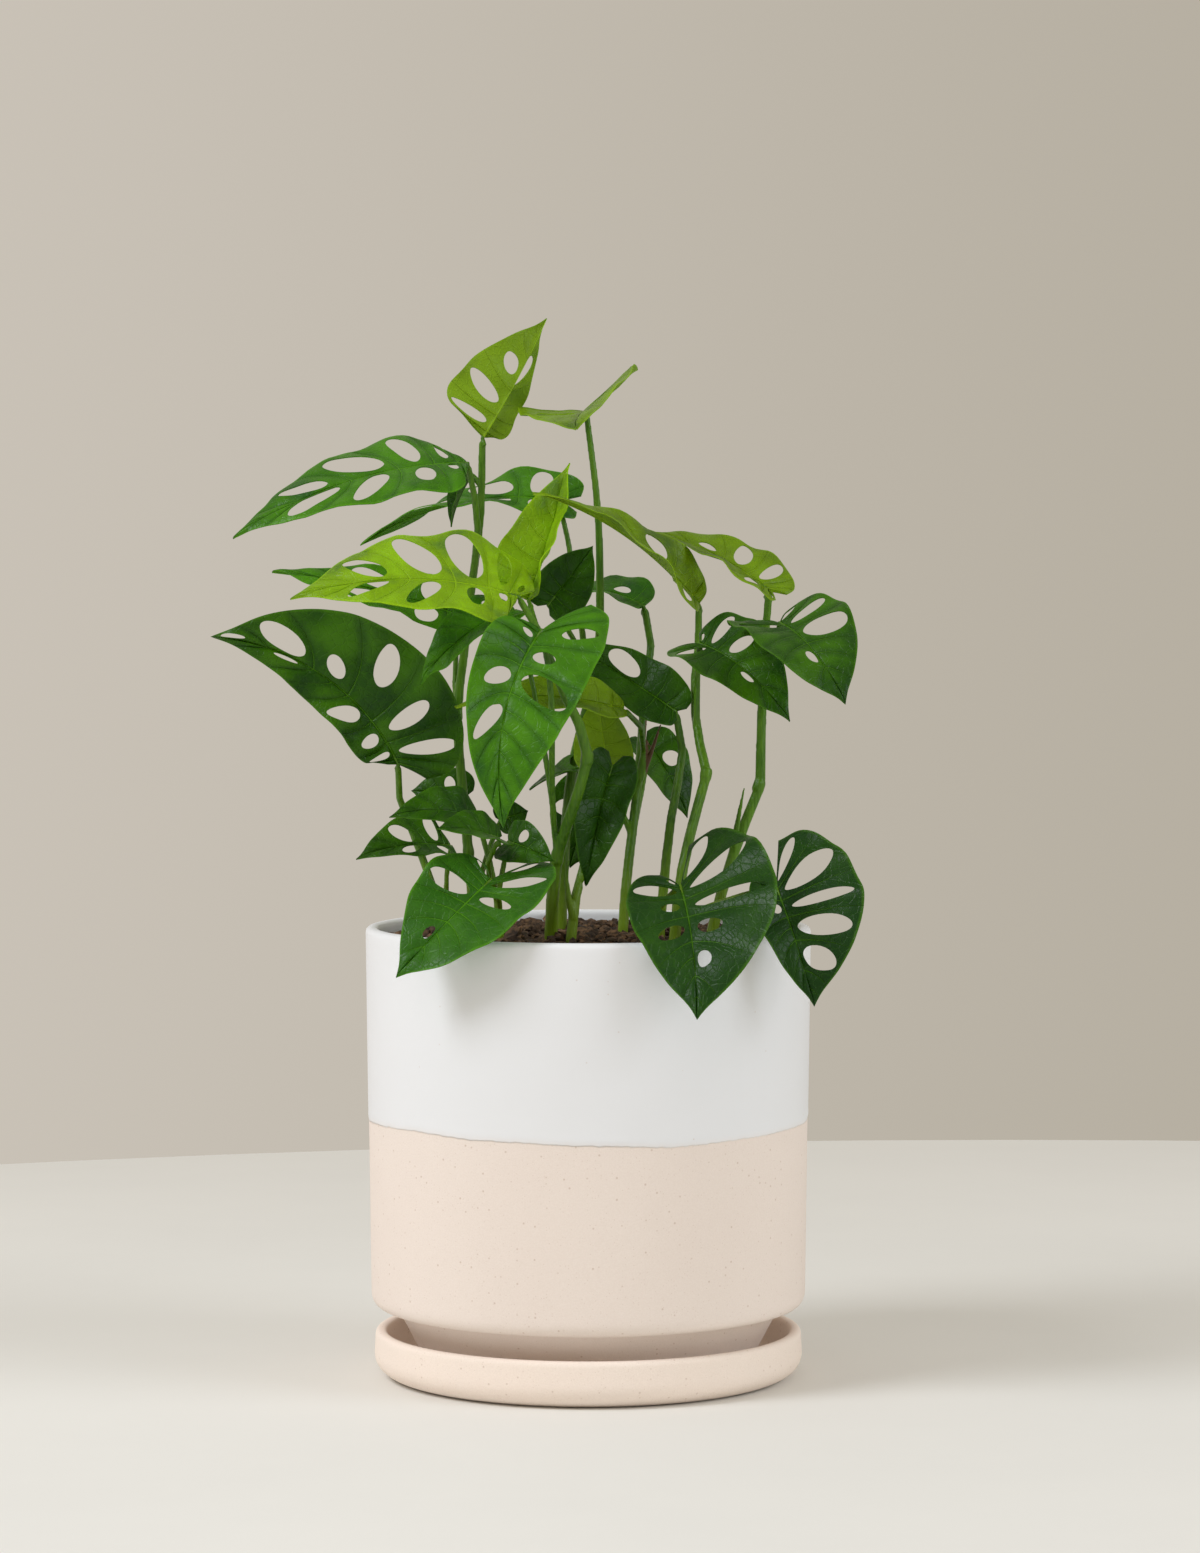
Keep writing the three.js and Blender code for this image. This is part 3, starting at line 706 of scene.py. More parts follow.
def bark_chip(draw, size):
    """A flat, broken piece: a small ball squeezed and jittered."""
    shape = bmesh.new()
    bmesh.ops.create_icosphere(shape, subdivisions=1, radius=1.0)
    points = np.array([v.co for v in shape.verts])
    faces = [[v.index for v in f.verts] for f in shape.faces]
    shape.free()
    squeeze = np.array([1.0, draw.uniform(0.45, 0.9), draw.uniform(0.22, 0.5)])
    points = points * squeeze * size
    points += draw.normal(0, 0.13 * size, points.shape) * squeeze
    turn = np.array(
        Matrix.Rotation(draw.uniform(0, 2 * math.pi), 3, "Z")
        @ Matrix.Rotation(draw.normal(0, 0.45), 3, "X")
        @ Matrix.Rotation(draw.normal(0, 0.35), 3, "Y")
    )
    return points @ turn.T, faces


def strewn_chip(draw, radius, top):
    """Points and faces of one chip on the mix, whose height at a distance top gives."""
    reach = radius * math.sqrt(draw.uniform(0, CHIP_SPREAD))
    angle = draw.uniform(0, 2 * math.pi)
    size = MM * min(5.5, draw.gamma(3.0, 0.65) + 0.6)
    reach = min(reach, radius - size)
    points, faces = bark_chip(draw, size)
    height = top(reach) + draw.uniform(-0.1, 0.3) * size
    return points + [reach * math.cos(angle), reach * math.sin(angle), height], faces


class BuildMix(bpy.types.Operator):
    """Fills the pot with crumbly potting mix and strews bark chips over it"""

    bl_idname = "monstera.build_mix"
    bl_label = "Build potting mix"

    def execute(self, context):
        settings = context.scene.monstera_mix
        low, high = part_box("potting_mix")
        radius = high.x - 0.4 * MM
        level = high.z - HEAP

        def top(reach):
            return level + HEAP * (1 - (reach / radius) ** 2)

        profile = [(0, low.z), (BOTTOM_RADIUS, low.z), (radius - 2 * MM, low.z + BOTTOM_CORNER)]
        rings = np.linspace(0, 1, MIX_RINGS) ** 0.85 * radius
        profile += [(ring, top(ring)) for ring in rings[::-1]]
        vertices, faces = turned(np.array(profile), MIX_STEPS, on_axis=True)
        for point in vertices:
            if point[2] < level - 1 * MM:
                continue
            place = Vector(point)
            crumb = noise.fractal(place * 330, 0.9, 2.1, 4)
            lump = noise.noise(place * 70)
            point[2] += settings.crumbs * (0.8 * crumb + 0.9 * lump) - SINK
        tone = [0.35 + 0.3 * noise.noise(Vector(point) * 160) for point in vertices]
        vertices = [tuple(v) for v in vertices]
        draw = np.random.default_rng(CHIP_SEED)
        for _ in range(settings.chips):
            points, chip = strewn_chip(draw, radius, top)
            start = len(vertices)
            vertices += [tuple(point) for point in points]
            faces += [tuple(start + i for i in face) for face in chip]
            tone += [draw.uniform(0.1, 1.0)] * len(points)
        mix = mesh_object(
            "mix_bark", vertices, faces, mix_material(settings), sharp_angle=28
        )
        store(mix.data, "tone", np.clip(tone, 0, 1))
        place_piece(mix, "potting_mix", "potting_mix")
        return {"FINISHED"}


# ---- Leaf blades ----


@dataclass
class Blade:
    """One leaf blade, as its builder sees it: from its stalk joint to its tip in millimetres,
    the way its upper face looks, the width of its left and right halves as a share of its
    length, and the holes between its side veins from stalk to tip. fold lifts each half, cup
    curls it, bend arches the midrib, swing bows it sideways, twist turns it, and lobe is how
    far each half reaches back past the joint. A pair gives the left and the right half."""

    node: str
    reach: tuple
    face: tuple
    halves: tuple
    left: str
    right: str
    tint: str
    fold: object = 8
    cup: object = 20
    bend: float = 30
    swing: float = 0
    twist: float = 0
    lobe: object = 0.1

    @property
    def seed(self):
        return sum(map(ord, self.node))

    @property
    def shade(self):
        """How dark the blade is beside others of its colour."""
        return SHADES.get(self.node, 0.15)

    @property
    def waviness(self):
        """How far the blade's surface wanders."""
        return WAVES.get(self.node, 1.6 * MM)


SHADES = {
    "leaf_heart": 1.0, "leaf_low_right": 1.1, "leaf_behind_front": 0.4,
    "leaf_drooping": 0.7, "leaf_low_left": 0.7, "leaf_far_right": 0.0,
    "leaf_right_low": 0.0, "leaf_big_left": 0.0, "leaf_pale_back": 0.0,
}
WAVES = {"leaf_curled": 5 * MM, "leaf_pale_back": 3 * MM, "leaf_young": 3 * MM}
# The midrib's width, and the length from which a blade has its full quilting and waviness.
RIB_WIDTH = 1 * MM
FULL_SIZE = 70 * MM

BLADES = [
    Blade("leaf_top", (27, 12, 51), (-0.4, 1, 0.5), (0.3, 0.4), "...w.", ".llm.", "fresh",
          fold=(50, 5), cup=(-40, 30), bend=-15, lobe=(-0.05, -0.05)),
    Blade("leaf_top_right", (-4, -75, -9), (-0.36, 0, 1), (0.4, 0.36), ".ll.", ".ll.", "fresh",
          fold=12, bend=10, lobe=0),
    Blade("leaf_long_left", (-97, -30, -32), (-0.1, -0.5, 0.85), (0.22, 0.25), ".smlw.", ".mlwl.",
          "green", bend=38, fold=0, cup=0, lobe=-0.05),
    Blade("leaf_hanging", (-9, 4, -22), (-0.8, -0.5, 0.2), (0.25, 0.25), "...", "...", "deep",
          fold=40, lobe=0),
    Blade("leaf_back_left", (-86, 6, -19), (-0.1, -0.1, 1), (0.14, 0.2), ".lwl.", ".lwl.", "green",
          bend=45, twist=90, fold=0),
    Blade("leaf_lime", (-93, -17, -1), (0.1, -0.65, 0.9), (0.22, 0.37), ".smll.", "slwwl.", "lime",
          bend=45, fold=0, cup=0, lobe=(-0.05, 0.1)),
    Blade("leaf_young", (17, 18, 58), (-0.5, -1, 0.2), (0.3, 0.3), "....", ".ls.", "lime",
          fold=(20, 45), bend=-10, lobe=0),
    Blade("leaf_pale_back", (-82, 8, 19), (0.1, -0.8, 0.8), (0.16, 0.16), ".ll.", ".ll.", "green",
          bend=20, lobe=0),
    Blade("leaf_big_left", (-78, -10, 54), (-0.2, -0.95, 0.3), (0.15, 0.35), ".lml.s.", ".lmoswo",
          "deep", bend=20, fold=5, swing=60, lobe=(-0.05, 0.1)),
    Blade("leaf_curled", (-39, -24, -30), (-0.4, -0.7, 0.6), (0.25, 0.25), "....", ".m..", "green",
          bend=50, fold=10, lobe=0),
    Blade("leaf_front", (-15, -26, -80), (0.1, -0.9, 0.35), (0.33, 0.22), ".osw...", ".s.ml..",
          "green", bend=35, fold=8, swing=45, lobe=(0.3, -0.02)),
    Blade("leaf_behind_front", (-49, 24, 30), (-0.2, -0.8, 0.5), (0.2, 0.22), "....", "..w.",
          "deep", bend=20, fold=5, lobe=0.05),
    Blade("leaf_round_back", (19, 4, 25), (0.3, -0.9, 0.2), (0.42, 0.42), "...", "...", "deep",
          fold=15),
    Blade("leaf_grey", (-36, 20, 3), (0, -0.3, 0.9), (0.32, 0.34), ".s.", ".s.", "green", bend=60,
          lobe=0),
    Blade("leaf_ribbon", (-70, -44, 47), (0, -0.4, 0.9), (0.15, 0.17), ".l...", "..m..", "fresh",
          bend=30, twist=60, fold=10, swing=20, lobe=0),
    Blade("leaf_right_top", (-51, 29, 24), (0.1, -0.3, 1), (0.25, 0.28), "lll..", ".lls.", "fresh",
          bend=30),
    Blade("leaf_right_low", (37, -24, -32), (-0.1, -0.6, 0.8), (0.36, 0.36), "slm..", ".l.s.",
          "deep", bend=60, lobe=(0.1, 0.1)),
    Blade("leaf_far_right", (26, -30, -33), (0.1, -0.7, 0.7), (0.45, 0.45), "llw..", "ml.s.",
          "deep", bend=60, lobe=(0.1, 0.3)),
    Blade("leaf_heart", (6, -42, -51), (-0.1, -1, 0.4), (0.58, 0.36), "wllss.", "swsm..", "deep",
          bend=35, fold=4, swing=-15, lobe=(0.4, 0.15)),
    Blade("leaf_low_right", (15, -22, -48), (0.1, -0.9, 0.4), (0.6, 0.25), "lwlww.", "..s...",
          "deep", bend=30, fold=8, lobe=(0.4, 0.1)),
    Blade("leaf_low_left", (-38, -26, -38), (-0.3, -0.9, 0.5), (0.52, 0.38), "olm...", "l.w.s.",
          "green", bend=35, swing=-15, lobe=(0.3, 0.1)),
    Blade("leaf_small_left", (-39, -22, -4), (-0.2, -0.7, 0.7), (0.28, 0.35), ".ll.", ".ll.",
          "deep", bend=40, lobe=-0.05),
    Blade("leaf_small_upper", (-36, -20, 2), (-0.1, -0.7, 0.7), (0.28, 0.3), "...", "...", "deep",
          bend=50, lobe=0),
    Blade("leaf_small_lower", (-25, -16, 5), (-0.2, -0.6, 0.8), (0.4, 0.4), "...", "...", "deep",
          bend=30),
    Blade("leaf_small_right", (19, -16, -7), (0, -0.9, 0.3), (0.4, 0.4), ".m.", "...", "deep",
          bend=40),
    Blade("leaf_drooping", (-11, -10, -50), (-0.3, -1, 0.1), (0.27, 0.27), "....", "....", "deep",
          bend=30, fold=(5, 45)),
    Blade("leaf_spike", (18, -6, -33), (0.5, -0.8, 0.4), (0.35, 0.35), ".m.", "...", "deep"),
    Blade("leaf_dark_back", (-12, 6, -35), (-0.3, -0.9, 0.3), (0.45, 0.45), ".l.", ".l.", "deep"),
    Blade("leaf_olive", (-4, 8, 30), (-0.2, 1, 0.2), (0.42, 0.42), "...", "...", "fresh"),
    Blade("leaf_bright", (-71, -12, 2), (0, -0.6, 0.8), (0.16, 0.16), "....", "....", "fresh",
          bend=40, lobe=0),
    Blade("leaf_inner", (-31, 14, -10), (0, -0.4, 1), (0.35, 0.35), ".l.", ".l.", "deep", bend=40),
    Blade("leaf_left_back", (-24, 6, 2), (-0.2, -0.9, 0.4), (0.45, 0.45), ".m.", ".m.", "deep"),
    Blade("leaf_dark_low", (12, 4, 4), (0, -0.9, 0.3), (0.6, 0.6), "...", "...", "deep"),
]

# Holes by letter: where they start and end from midrib to margin, and their share of the
# space between two side veins. A dot in a blade's pattern stands for no hole.
HOLES = {
    "s": (0.1, 0.44, 0.46),
    "m": (0.12, 0.7, 0.48),
    "o": (0.36, 0.88, 0.44),
    "l": (0.1, 0.9, 0.5),
    "w": (0.1, 0.91, 0.74),
}
# How far one hole differs from the next, and how much narrower it is towards the margin.
HOLE_SIZES = (0.92, 1.05)
HOLE_LEAN = 0.05
HOLE_TAPER = 0.12
VEIN_CROWDING = 1.8
VEIN_SAG = 0.2
MARGIN_RIPPLE = 0.02
MARGIN_WAVES = 3
BEND_STEPS = 10

# Where the cells of a blade's mesh lie between its midrib and its margin, between two side
# veins, and between a band's border and its hole. They are closest along the veins.
COLUMNS = (0, 0.03, 0.09, 0.2, 0.34, 0.5, 0.66, 0.8, 0.91, 1)
ROWS = (0, 0.05, 0.14, 0.25, 0.36, 0.45, 0.5, 0.55, 0.64, 0.75, 0.86, 0.95, 1)
RIMS = (0, 0.34, 0.64, 0.86, 1)
BORDER = [(row, 0) for row in ROWS]
BORDER += [(1, column) for column in COLUMNS[1:]]
BORDER += [(row, 1) for row in ROWS[-2::-1]]
BORDER += [(0, column) for column in COLUMNS[-2:0:-1]]


def both(value):
    return value if isinstance(value, tuple) else (value, value)


def for_half(across, value):
    """For each point, the value of the half that it lies in."""
    return np.where(across > 0, *both(value))


def outline_of(lobe, share):
    """The half outline as a smooth curve: along the midrib and across, as shares."""
    corner = lobe if lobe > 0 else 0.4 * lobe
    points = np.array([
        (-corner, 0.13), (0.01 - lobe, 0.3), (0.07 - 0.5 * lobe, 0.45), (0.2, 0.5),
        (0.4, 0.47), (0.6, 0.36), (0.78, 0.21), (0.91, 0.07), (1, 0),
    ])
    last = len(points) - 1
    place = np.clip(share, 0, 1) * last
    index = np.minimum(place.astype(int), last)
    t = (place - index)[:, None]
    before = points[np.maximum(index - 1, 0)]
    start = points[index]
    end = points[np.minimum(index + 1, last)]
    after = points[np.minimum(index + 2, last)]
    leaving = (end - before) / 2
    arriving = (after - start) / 2
    return (
        (2 * start - 2 * end + leaving + arriving) * t ** 3
        + (3 * end - 3 * start - 2 * leaving - arriving) * t ** 2
        + leaving * t
        + start
    )


def flat_points(share, column, side, lobe):
    """Flat blade points from shares of the length and columns from midrib to margin."""
    rib = share ** VEIN_CROWDING
    edge = outline_of(lobe, share)
    sag = 4 * VEIN_SAG * share ** 2 * (1 - share) * column * (1 - column)
    along = rib + (edge[:, 0] - rib) * column - sag
    return along, side * column * edge[:, 1]


def heading(pitch, yaw):
    """Directions that point along X, turned down by pitch and sideways by yaw."""
    return np.stack(
        [np.cos(pitch) * np.cos(yaw), np.cos(pitch) * np.sin(yaw), -np.sin(pitch)], axis=1
    )


def bend_points(blade, along, across):
    """Flat blade points bent into space, with the midrib starting along X and the upper face
    towards Z."""
    spine = np.zeros((len(along), 3))
    for i in range(BEND_STEPS):
        share = along * (i + 0.5) / BEND_STEPS - 0.5
        step = heading(np.radians(blade.bend * share), np.radians(blade.swing * share))
        spine += step * along[:, None] / BEND_STEPS
    yaw = np.radians(blade.swing * (along - 0.5))
    roll = np.radians(blade.twist * (along - 0.5))[:, None]
    ahead = heading(np.radians(blade.bend * (along - 0.5)), yaw)
    level = np.stack([-np.sin(yaw), np.cos(yaw), 0 * yaw], axis=1)
    left = level * np.cos(roll) + np.cross(ahead, level) * np.sin(roll)
    up = np.cross(ahead, left)
    out = 2 * np.abs(across)
    half = for_half(across, blade.halves)
    curl = 0.5 * for_half(across, blade.cup) * out
    lift = np.radians(for_half(across, blade.fold) + curl)
    phase = 2 * math.pi * MARGIN_WAVES * along + 2 * np.sign(across)
    ripple = MARGIN_RIPPLE * out ** 2 * np.sin(phase)
    sideways = (2 * half * across * np.cos(lift))[:, None] * left
    upwards = (half * out * np.sin(lift) + ripple)[:, None] * up
    return spine + sideways + upwards


def basis(first, near):
    """Three axes as columns: the first as given, the third as near to near as it can be."""
    x = first / np.linalg.norm(first)
    z = near - near.dot(x) * x
    z = z / np.linalg.norm(z)
    return np.stack([x, np.cross(z, x), z], axis=1)


def blade_shaper(blade):
    """A function from flat points to space in metres, with the stalk joint at the origin."""
    ends = bend_points(blade, np.array([0.0, 1.0]), np.array([0.0, 0.0]))
    chord = ends[1] - ends[0]
    goal = np.array(blade.reach) * MM
    turn = basis(goal, np.array(blade.face, float)) @ basis(chord, np.array([0, 0, 1.0])).T
    size = np.linalg.norm(goal) / np.linalg.norm(chord)

    def shape(along, across):
        return (bend_points(blade, along, across) - ends[0]) @ turn.T * size

    return shape, size


def hole_ring(t, start, end, share, lean):
    """The loop of (row, column) at t between a band's border and its hole."""
    ring = []
    for row, column in BORDER:
        r = 2 * row - 1
        c = 2 * column - 1
        hole_r = r * math.sqrt(1 - c * c / 2) * share * (1 - HOLE_TAPER * c)
        hole_c = c * math.sqrt(1 - r * r / 2)
        hole_row = 0.5 + 0.5 * hole_r + lean * c * 0.5
        hole_column = (start + end) / 2 + hole_c * (end - start) / 2
        ring.append((row + (hole_row - row) * t, column + (hole_column - column) * t))
    return ring


def blade_grid(blade):
    """Cells of the flat blade. Each band between two side veins is whole or has a hole.
    Returns share, column and side for each vertex, and the faces of the upper skin."""
    bands = len(blade.left)
    draw = np.random.default_rng(blade.seed)
    shares, columns, sides, faces = [], [], [], []
    known = {}

    def vertex(band, row, column, side):
        share = (band + row) / bands
        if share > 1 - 1e-9:
            column = 0.0
        own_side = 0 if column == 0 else side
        key = (round(share, 5), round(column, 5), own_side)
        if key not in known:
            known[key] = len(shares)
            shares.append(share)
            columns.append(column)
            sides.append(side)
        return known[key]

    def face(side, *corners):
        loop = list(dict.fromkeys(corners if side > 0 else corners[::-1]))
        if len(loop) > 2:
            faces.append(loop)

    def whole_band(band, side):
        for row, next_row in zip(ROWS, ROWS[1:]):
            for column, next_column in zip(COLUMNS, COLUMNS[1:]):
                face(
                    side,
                    vertex(band, row, column, side),
                    vertex(band, next_row, column, side),
                    vertex(band, next_row, next_column, side),
                    vertex(band, row, next_column, side),
                )

    def holed_band(band, side, start, end, share):
        share *= draw.uniform(*HOLE_SIZES)
        lean = draw.uniform(-HOLE_LEAN, HOLE_LEAN)
        rings = [
            [vertex(band, *place, side) for place in hole_ring(t, start, end, share, lean)]
            for t in RIMS
        ]
        for outer, inner in zip(rings, rings[1:]):
            for i in range(len(BORDER)):
                j = (i + 1) % len(BORDER)
                face(side, outer[i], outer[j], inner[j], inner[i])

    for side, pattern in ((1, blade.left), (-1, blade.right)):
        for band, letter in enumerate(pattern):
            if letter == ".":
                whole_band(band, side)
            else:
                holed_band(band, side, *HOLES[letter])
    return np.array(shares), np.array(columns), np.array(sides), faces


def blade_points(blade, shares, columns, sides):
    """Flat coordinates of the grid's vertices."""
    along = np.zeros(len(shares))
    across = np.zeros(len(shares))
    for side, lobe in zip((1, -1), both(blade.lobe)):
        own = sides == side
        along[own], across[own] = flat_points(shares[own], columns[own], side, lobe)
    return along, across


def in_whole_band(blade, shares, sides):
    """Which vertices lie in a band with no hole."""
    bands = np.minimum((shares * len(blade.left)).astype(int), len(blade.left) - 1)
    left, right = [
        np.array([letter == "." for letter in pattern]) for pattern in (blade.left, blade.right)
    ]
    return np.where(sides > 0, left[bands], right[bands])


def blade_normals(shape, along, across):
    reach = 0.01
    ahead = shape(along + reach, across) - shape(along - reach, across)
    left = shape(along, across + reach) - shape(along, across - reach)
    normals = np.cross(ahead, left)
    return normals / np.linalg.norm(normals, axis=1)[:, None]


def stalk_joint(blade):
    """Where the blade's stalk meets it, and the direction that its midrib sets out in."""
    shares, columns, sides, _ = blade_grid(blade)
    along, across = blade_points(blade, shares, columns, sides)
    shape, _ = blade_shaper(blade)
    points = shape(along, across)
    low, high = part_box(blade.node)
    centre = np.array((low + high) / 2)
    joint = centre - (points.min(0) + points.max(0)) / 2
    start = shape(np.array([0.0, 0.05]), np.array([0.0, 0.0]))
    ahead = start[1] - start[0]
    return joint, ahead / np.linalg.norm(ahead)


def closed_faces(faces, count):
    """The faces of the upper skin, those of the lower skin, whose vertices come count later,
    and the walls between them along every open edge."""
    closed = [tuple(loop) for loop in faces]
    closed += [tuple(count + i for i in reversed(loop)) for loop in faces]
    edges = set()
    for loop in faces:
        edges.update(zip(loop, loop[1:] + loop[:1]))
    open_edges = [(p, q) for p, q in sorted(edges) if (q, p) not in edges]
    return closed + [(q, p, count + p, count + q) for p, q in open_edges]


def swelling(rows, columns, whole):
    """How far the skin swells between its veins, from 0 to 1. A whole band has a finer vein
    along its middle."""
    main = np.abs(np.sin(math.pi * rows)) ** 0.6
    minor = np.abs(np.sin(2 * math.pi * rows)) ** 0.6
    between = np.where(whole, 0.6 * main + 0.2 * minor, main)
    return between * np.sin(math.pi * np.clip(columns, 0, 1)) ** 0.6


def vein_distance(blade, shares, columns, sides, whole, halves):
    """How far each vertex is from the nearest side vein, as a share of the blade's length."""
    bands = len(blade.left)
    rows = shares * bands
    gap = np.abs(rows - np.round(rows))
    gap = np.where(whole, np.abs(2 * rows - np.round(2 * rows)) / 2, gap)
    half_band = 0.5 / bands
    ahead = blade_points(blade, np.clip(shares + half_band, 0, 1), columns, sides)
    back = blade_points(blade, np.clip(shares - half_band, 0, 1), columns, sides)
    return gap * np.hypot(ahead[0] - back[0], 2 * halves * (ahead[1] - back[1]))


def blade_mesh(blade, settings, material):
    shares, columns, sides, faces = blade_grid(blade)
    along, across = blade_points(blade, shares, columns, sides)
    shape, size = blade_shaper(blade)
    joint, _ = stalk_joint(blade)
    normals = blade_normals(shape, along, across)
    whole = in_whole_band(blade, shares, sides)
    halves = for_half(across, blade.halves)
    to_rib = 2 * halves * np.abs(across) * size
    ridge = np.exp(-((to_rib / RIB_WIDTH) ** 2)) * (1 - 0.75 * shares)
    places = np.stack(
        [along * size, 2 * halves * across * size, 0 * along + blade.seed % 97], axis=1
    )
    wander = np.array([
        noise.noise(Vector(p) * 45) + 0.35 * noise.noise(Vector(p) * 130) for p in places
    ])
    scale = min(1, size / FULL_SIZE)
    swell = settings.quilting * swelling(shares * len(blade.left), columns, whole)
    rise = scale * (swell + blade.waviness * wander * columns)
    middle = shape(along, across) + normals * rise[:, None]
    half = settings.thickness / 2 * (1 - 0.35 * smoothstep((columns - 0.8) / 0.2))
    rib = settings.rib * ridge * scale
    upper = middle + normals * (half - 0.25 * rib)[:, None]
    lower = middle - normals * (half + rib)[:, None]
    vertices = np.concatenate([upper, lower]) + joint
    count = len(shares)
    leaf = mesh_object(
        blade.node + "_blade", vertices, closed_faces(faces, count), material,
        sharp_angle=55,
    )
    to_vein = vein_distance(blade, shares, columns, sides, whole, halves) * size
    tone = np.full(count, blade.shade)
    for name, values in (
        ("to_vein", to_vein / MM),
        ("to_rib", to_rib / MM),
        ("flat", places / MM),
        ("place", np.stack([columns, shares, tone], axis=1)),
    ):
        store(leaf.data, name, np.concatenate([values, values]))
    store(leaf.data, "underside", np.concatenate([np.zeros(count), np.ones(count)]))
    return leaf


def leaf_material(tint, settings):
    material, tree, skin, output = new_material("Leaf " + tint, 0.2)
    red, green, blue, _ = getattr(settings, tint)

    def lighter(factor, *more):
        parts = zip((red, green, blue), more)
        return (*[min(1.0, factor * part + add) for part, add in parts], 1)

    # The dark colour serves the painted shade by the side veins, the darker patches and the darker
    # blades; its strength by the veins is less on young leaves.
    look = use_effect(
        tree, leaf_effect(), Leaf=(red, green, blue, 1),
        Vein=lighter(1.5, 0.035, 0.07, 0.003), Under=lighter(1.3, 0.045, 0.07, 0.012),
        Groove=(0.22 * red, 0.3 * green, 0.3 * blue + 0.1 * green, 1),
        Depth=0.4 if tint in ("lime", "fresh") else 1.0,
    )
    bump = finish_skin(
        tree, skin, look["Colour"], look["Roughness"], look["Height"], 0.45 * MM
    )
    glow = shader_node(
        tree, "ShaderNodeBsdfTranslucent",
        {"Color": lighter(1.5, 0.02, 0.045, 0.002), "Normal": bump},
    )
    mixed = shader_node(
        tree, "ShaderNodeMixShader", {0: 0.3, 1: skin.outputs[0], 2: glow.outputs[0]}
    )
    tree.links.new(mixed.outputs[0], output.inputs["Surface"])
    return material


class BuildLeaves(bpy.types.Operator):
    """Builds every leaf blade where its plain solid lies"""

    bl_idname = "monstera.build_leaves"
    bl_label = "Build leaves"

    def execute(self, context):
        settings = context.scene.monstera_leaf
        materials = {tint: leaf_material(tint, settings) for tint in TINTS}
        for blade in BLADES:
            leaf = blade_mesh(blade, settings, materials[blade.tint])
            place_piece(leaf, "leaf_" + blade.tint, blade.node)
        return {"FINISHED"}


# ---- Stems ----


# Dried sheaths by shoot: the heights above the mix between which it is dry, how softly it
# starts and ends, and where it starts along X.
SHEATHS = {"shoot_back": (66 * MM, 94 * MM, 8 * MM, 24.5 * MM)}
# How far above the mix a stem looks young, and how far it is dry.
YOUNG_HEIGHT = 45 * MM
DRY_HEIGHT = 7 * MM
# Smoothing thins a stem by about this much, and it is swollen again by as much.
THINNING = 0.32 * MM
NECK_LENGTH = 5 * MM


def stem_material(settings):
    material, tree, skin, _ = new_material("Stem", 0.3)
    streaks, blotches = [
        use_effect(tree, mottle_effect(), First=settings.green, Second=settings.pale,
                   Across=across, Upward=upward)
        for across, upward in ((900.0, 70.0), (55.0, 30.0))
    ]
    colour = blend(tree, 0.55, streaks["Colour"], blotches["Colour"])
    young = stored(tree, "youth").outputs["Fac"]
    colour = blend(tree, times(tree, young, 0.6), colour, settings.young)
    dry = stored(tree, "dryness").outputs["Fac"]
    patchy = plus(tree, dry, times(tree, streaks["Height"], 0.5))
    colour = blend(tree, step_between(tree, patchy, 0.55, 0.95), colour, settings.dry)
    rough = step_between(tree, streaks["Height"], 0.3, 0.7, 0.27, 0.42)
    finish_skin(tree, skin, colour, rough, streaks["Height"], 0.35 * MM)
    return material


def height_above_mix(mesh):
    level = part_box("potting_mix")[1].z - HEAP
    return np.array([v.co.z for v in mesh.vertices]) - level


def dryness(mesh, name):
    """How dry each point of a shoot is: its sheath, and a little where it leaves the mix."""
    rise = height_above_mix(mesh)
    dry = 0.6 * smoothstep(1 - rise / DRY_HEIGHT)
    if name in SHEATHS:
        low, high, soft, start = SHEATHS[name]
        inside = smoothstep((rise - low) / soft) * smoothstep((high + soft - rise) / soft)
        beyond = np.array([v.co.x > start for v in mesh.vertices])
        dry = np.maximum(dry, inside * beyond)
    return dry


def add_neck(shape, points, joint, ahead):
    """Joins a stalk's open end to its blade: a short tapering tube into the midrib."""
    distances = np.linalg.norm(points - joint, axis=1)
    nearest = points[np.argsort(distances)[:6]]
    end = nearest.mean(0)
    radius = np.linalg.norm(nearest - end, axis=1).mean()
    radius = float(np.clip(radius, 0.8 * MM, 1.4 * MM))
    back = end - joint
    back = back / max(np.linalg.norm(back), 1e-9)
    stops = [end + back * 1.5 * MM, joint - ahead * 0.3 * MM, joint + ahead * NECK_LENGTH]
    for i, (start, stop) in enumerate(zip(stops, stops[1:])):
        axis = Vector(stop - start)
        turn = axis.to_track_quat("Z", "Y").to_matrix().to_4x4()
        place = Matrix.Translation(Vector(start) + axis / 2) @ turn
        bmesh.ops.create_cone(
            shape, cap_ends=True, segments=12, radius1=radius * (1 - 0.1 * i),
            radius2=radius * (0.9 - 0.45 * i), depth=axis.length * 1.05, matrix=place,
        )
    bmesh.ops.create_icosphere(
        shape, subdivisions=2, radius=radius * 1.05, matrix=Matrix.Translation(stops[1])
    )


def joints_by_shoot(corners):
    """For each shoot, the joint and direction of every blade that it carries: the shoot with
    the corner nearest to the joint carries it."""
    joints = {name: [] for name in corners}
    for blade in BLADES:
        joint, ahead = stalk_joint(blade)
        near = {
            name: np.linalg.norm(points - joint, axis=1).min()
            for name, points in corners.items()
        }
        joints[min(near, key=near.get)].append((joint, ahead))
    return joints


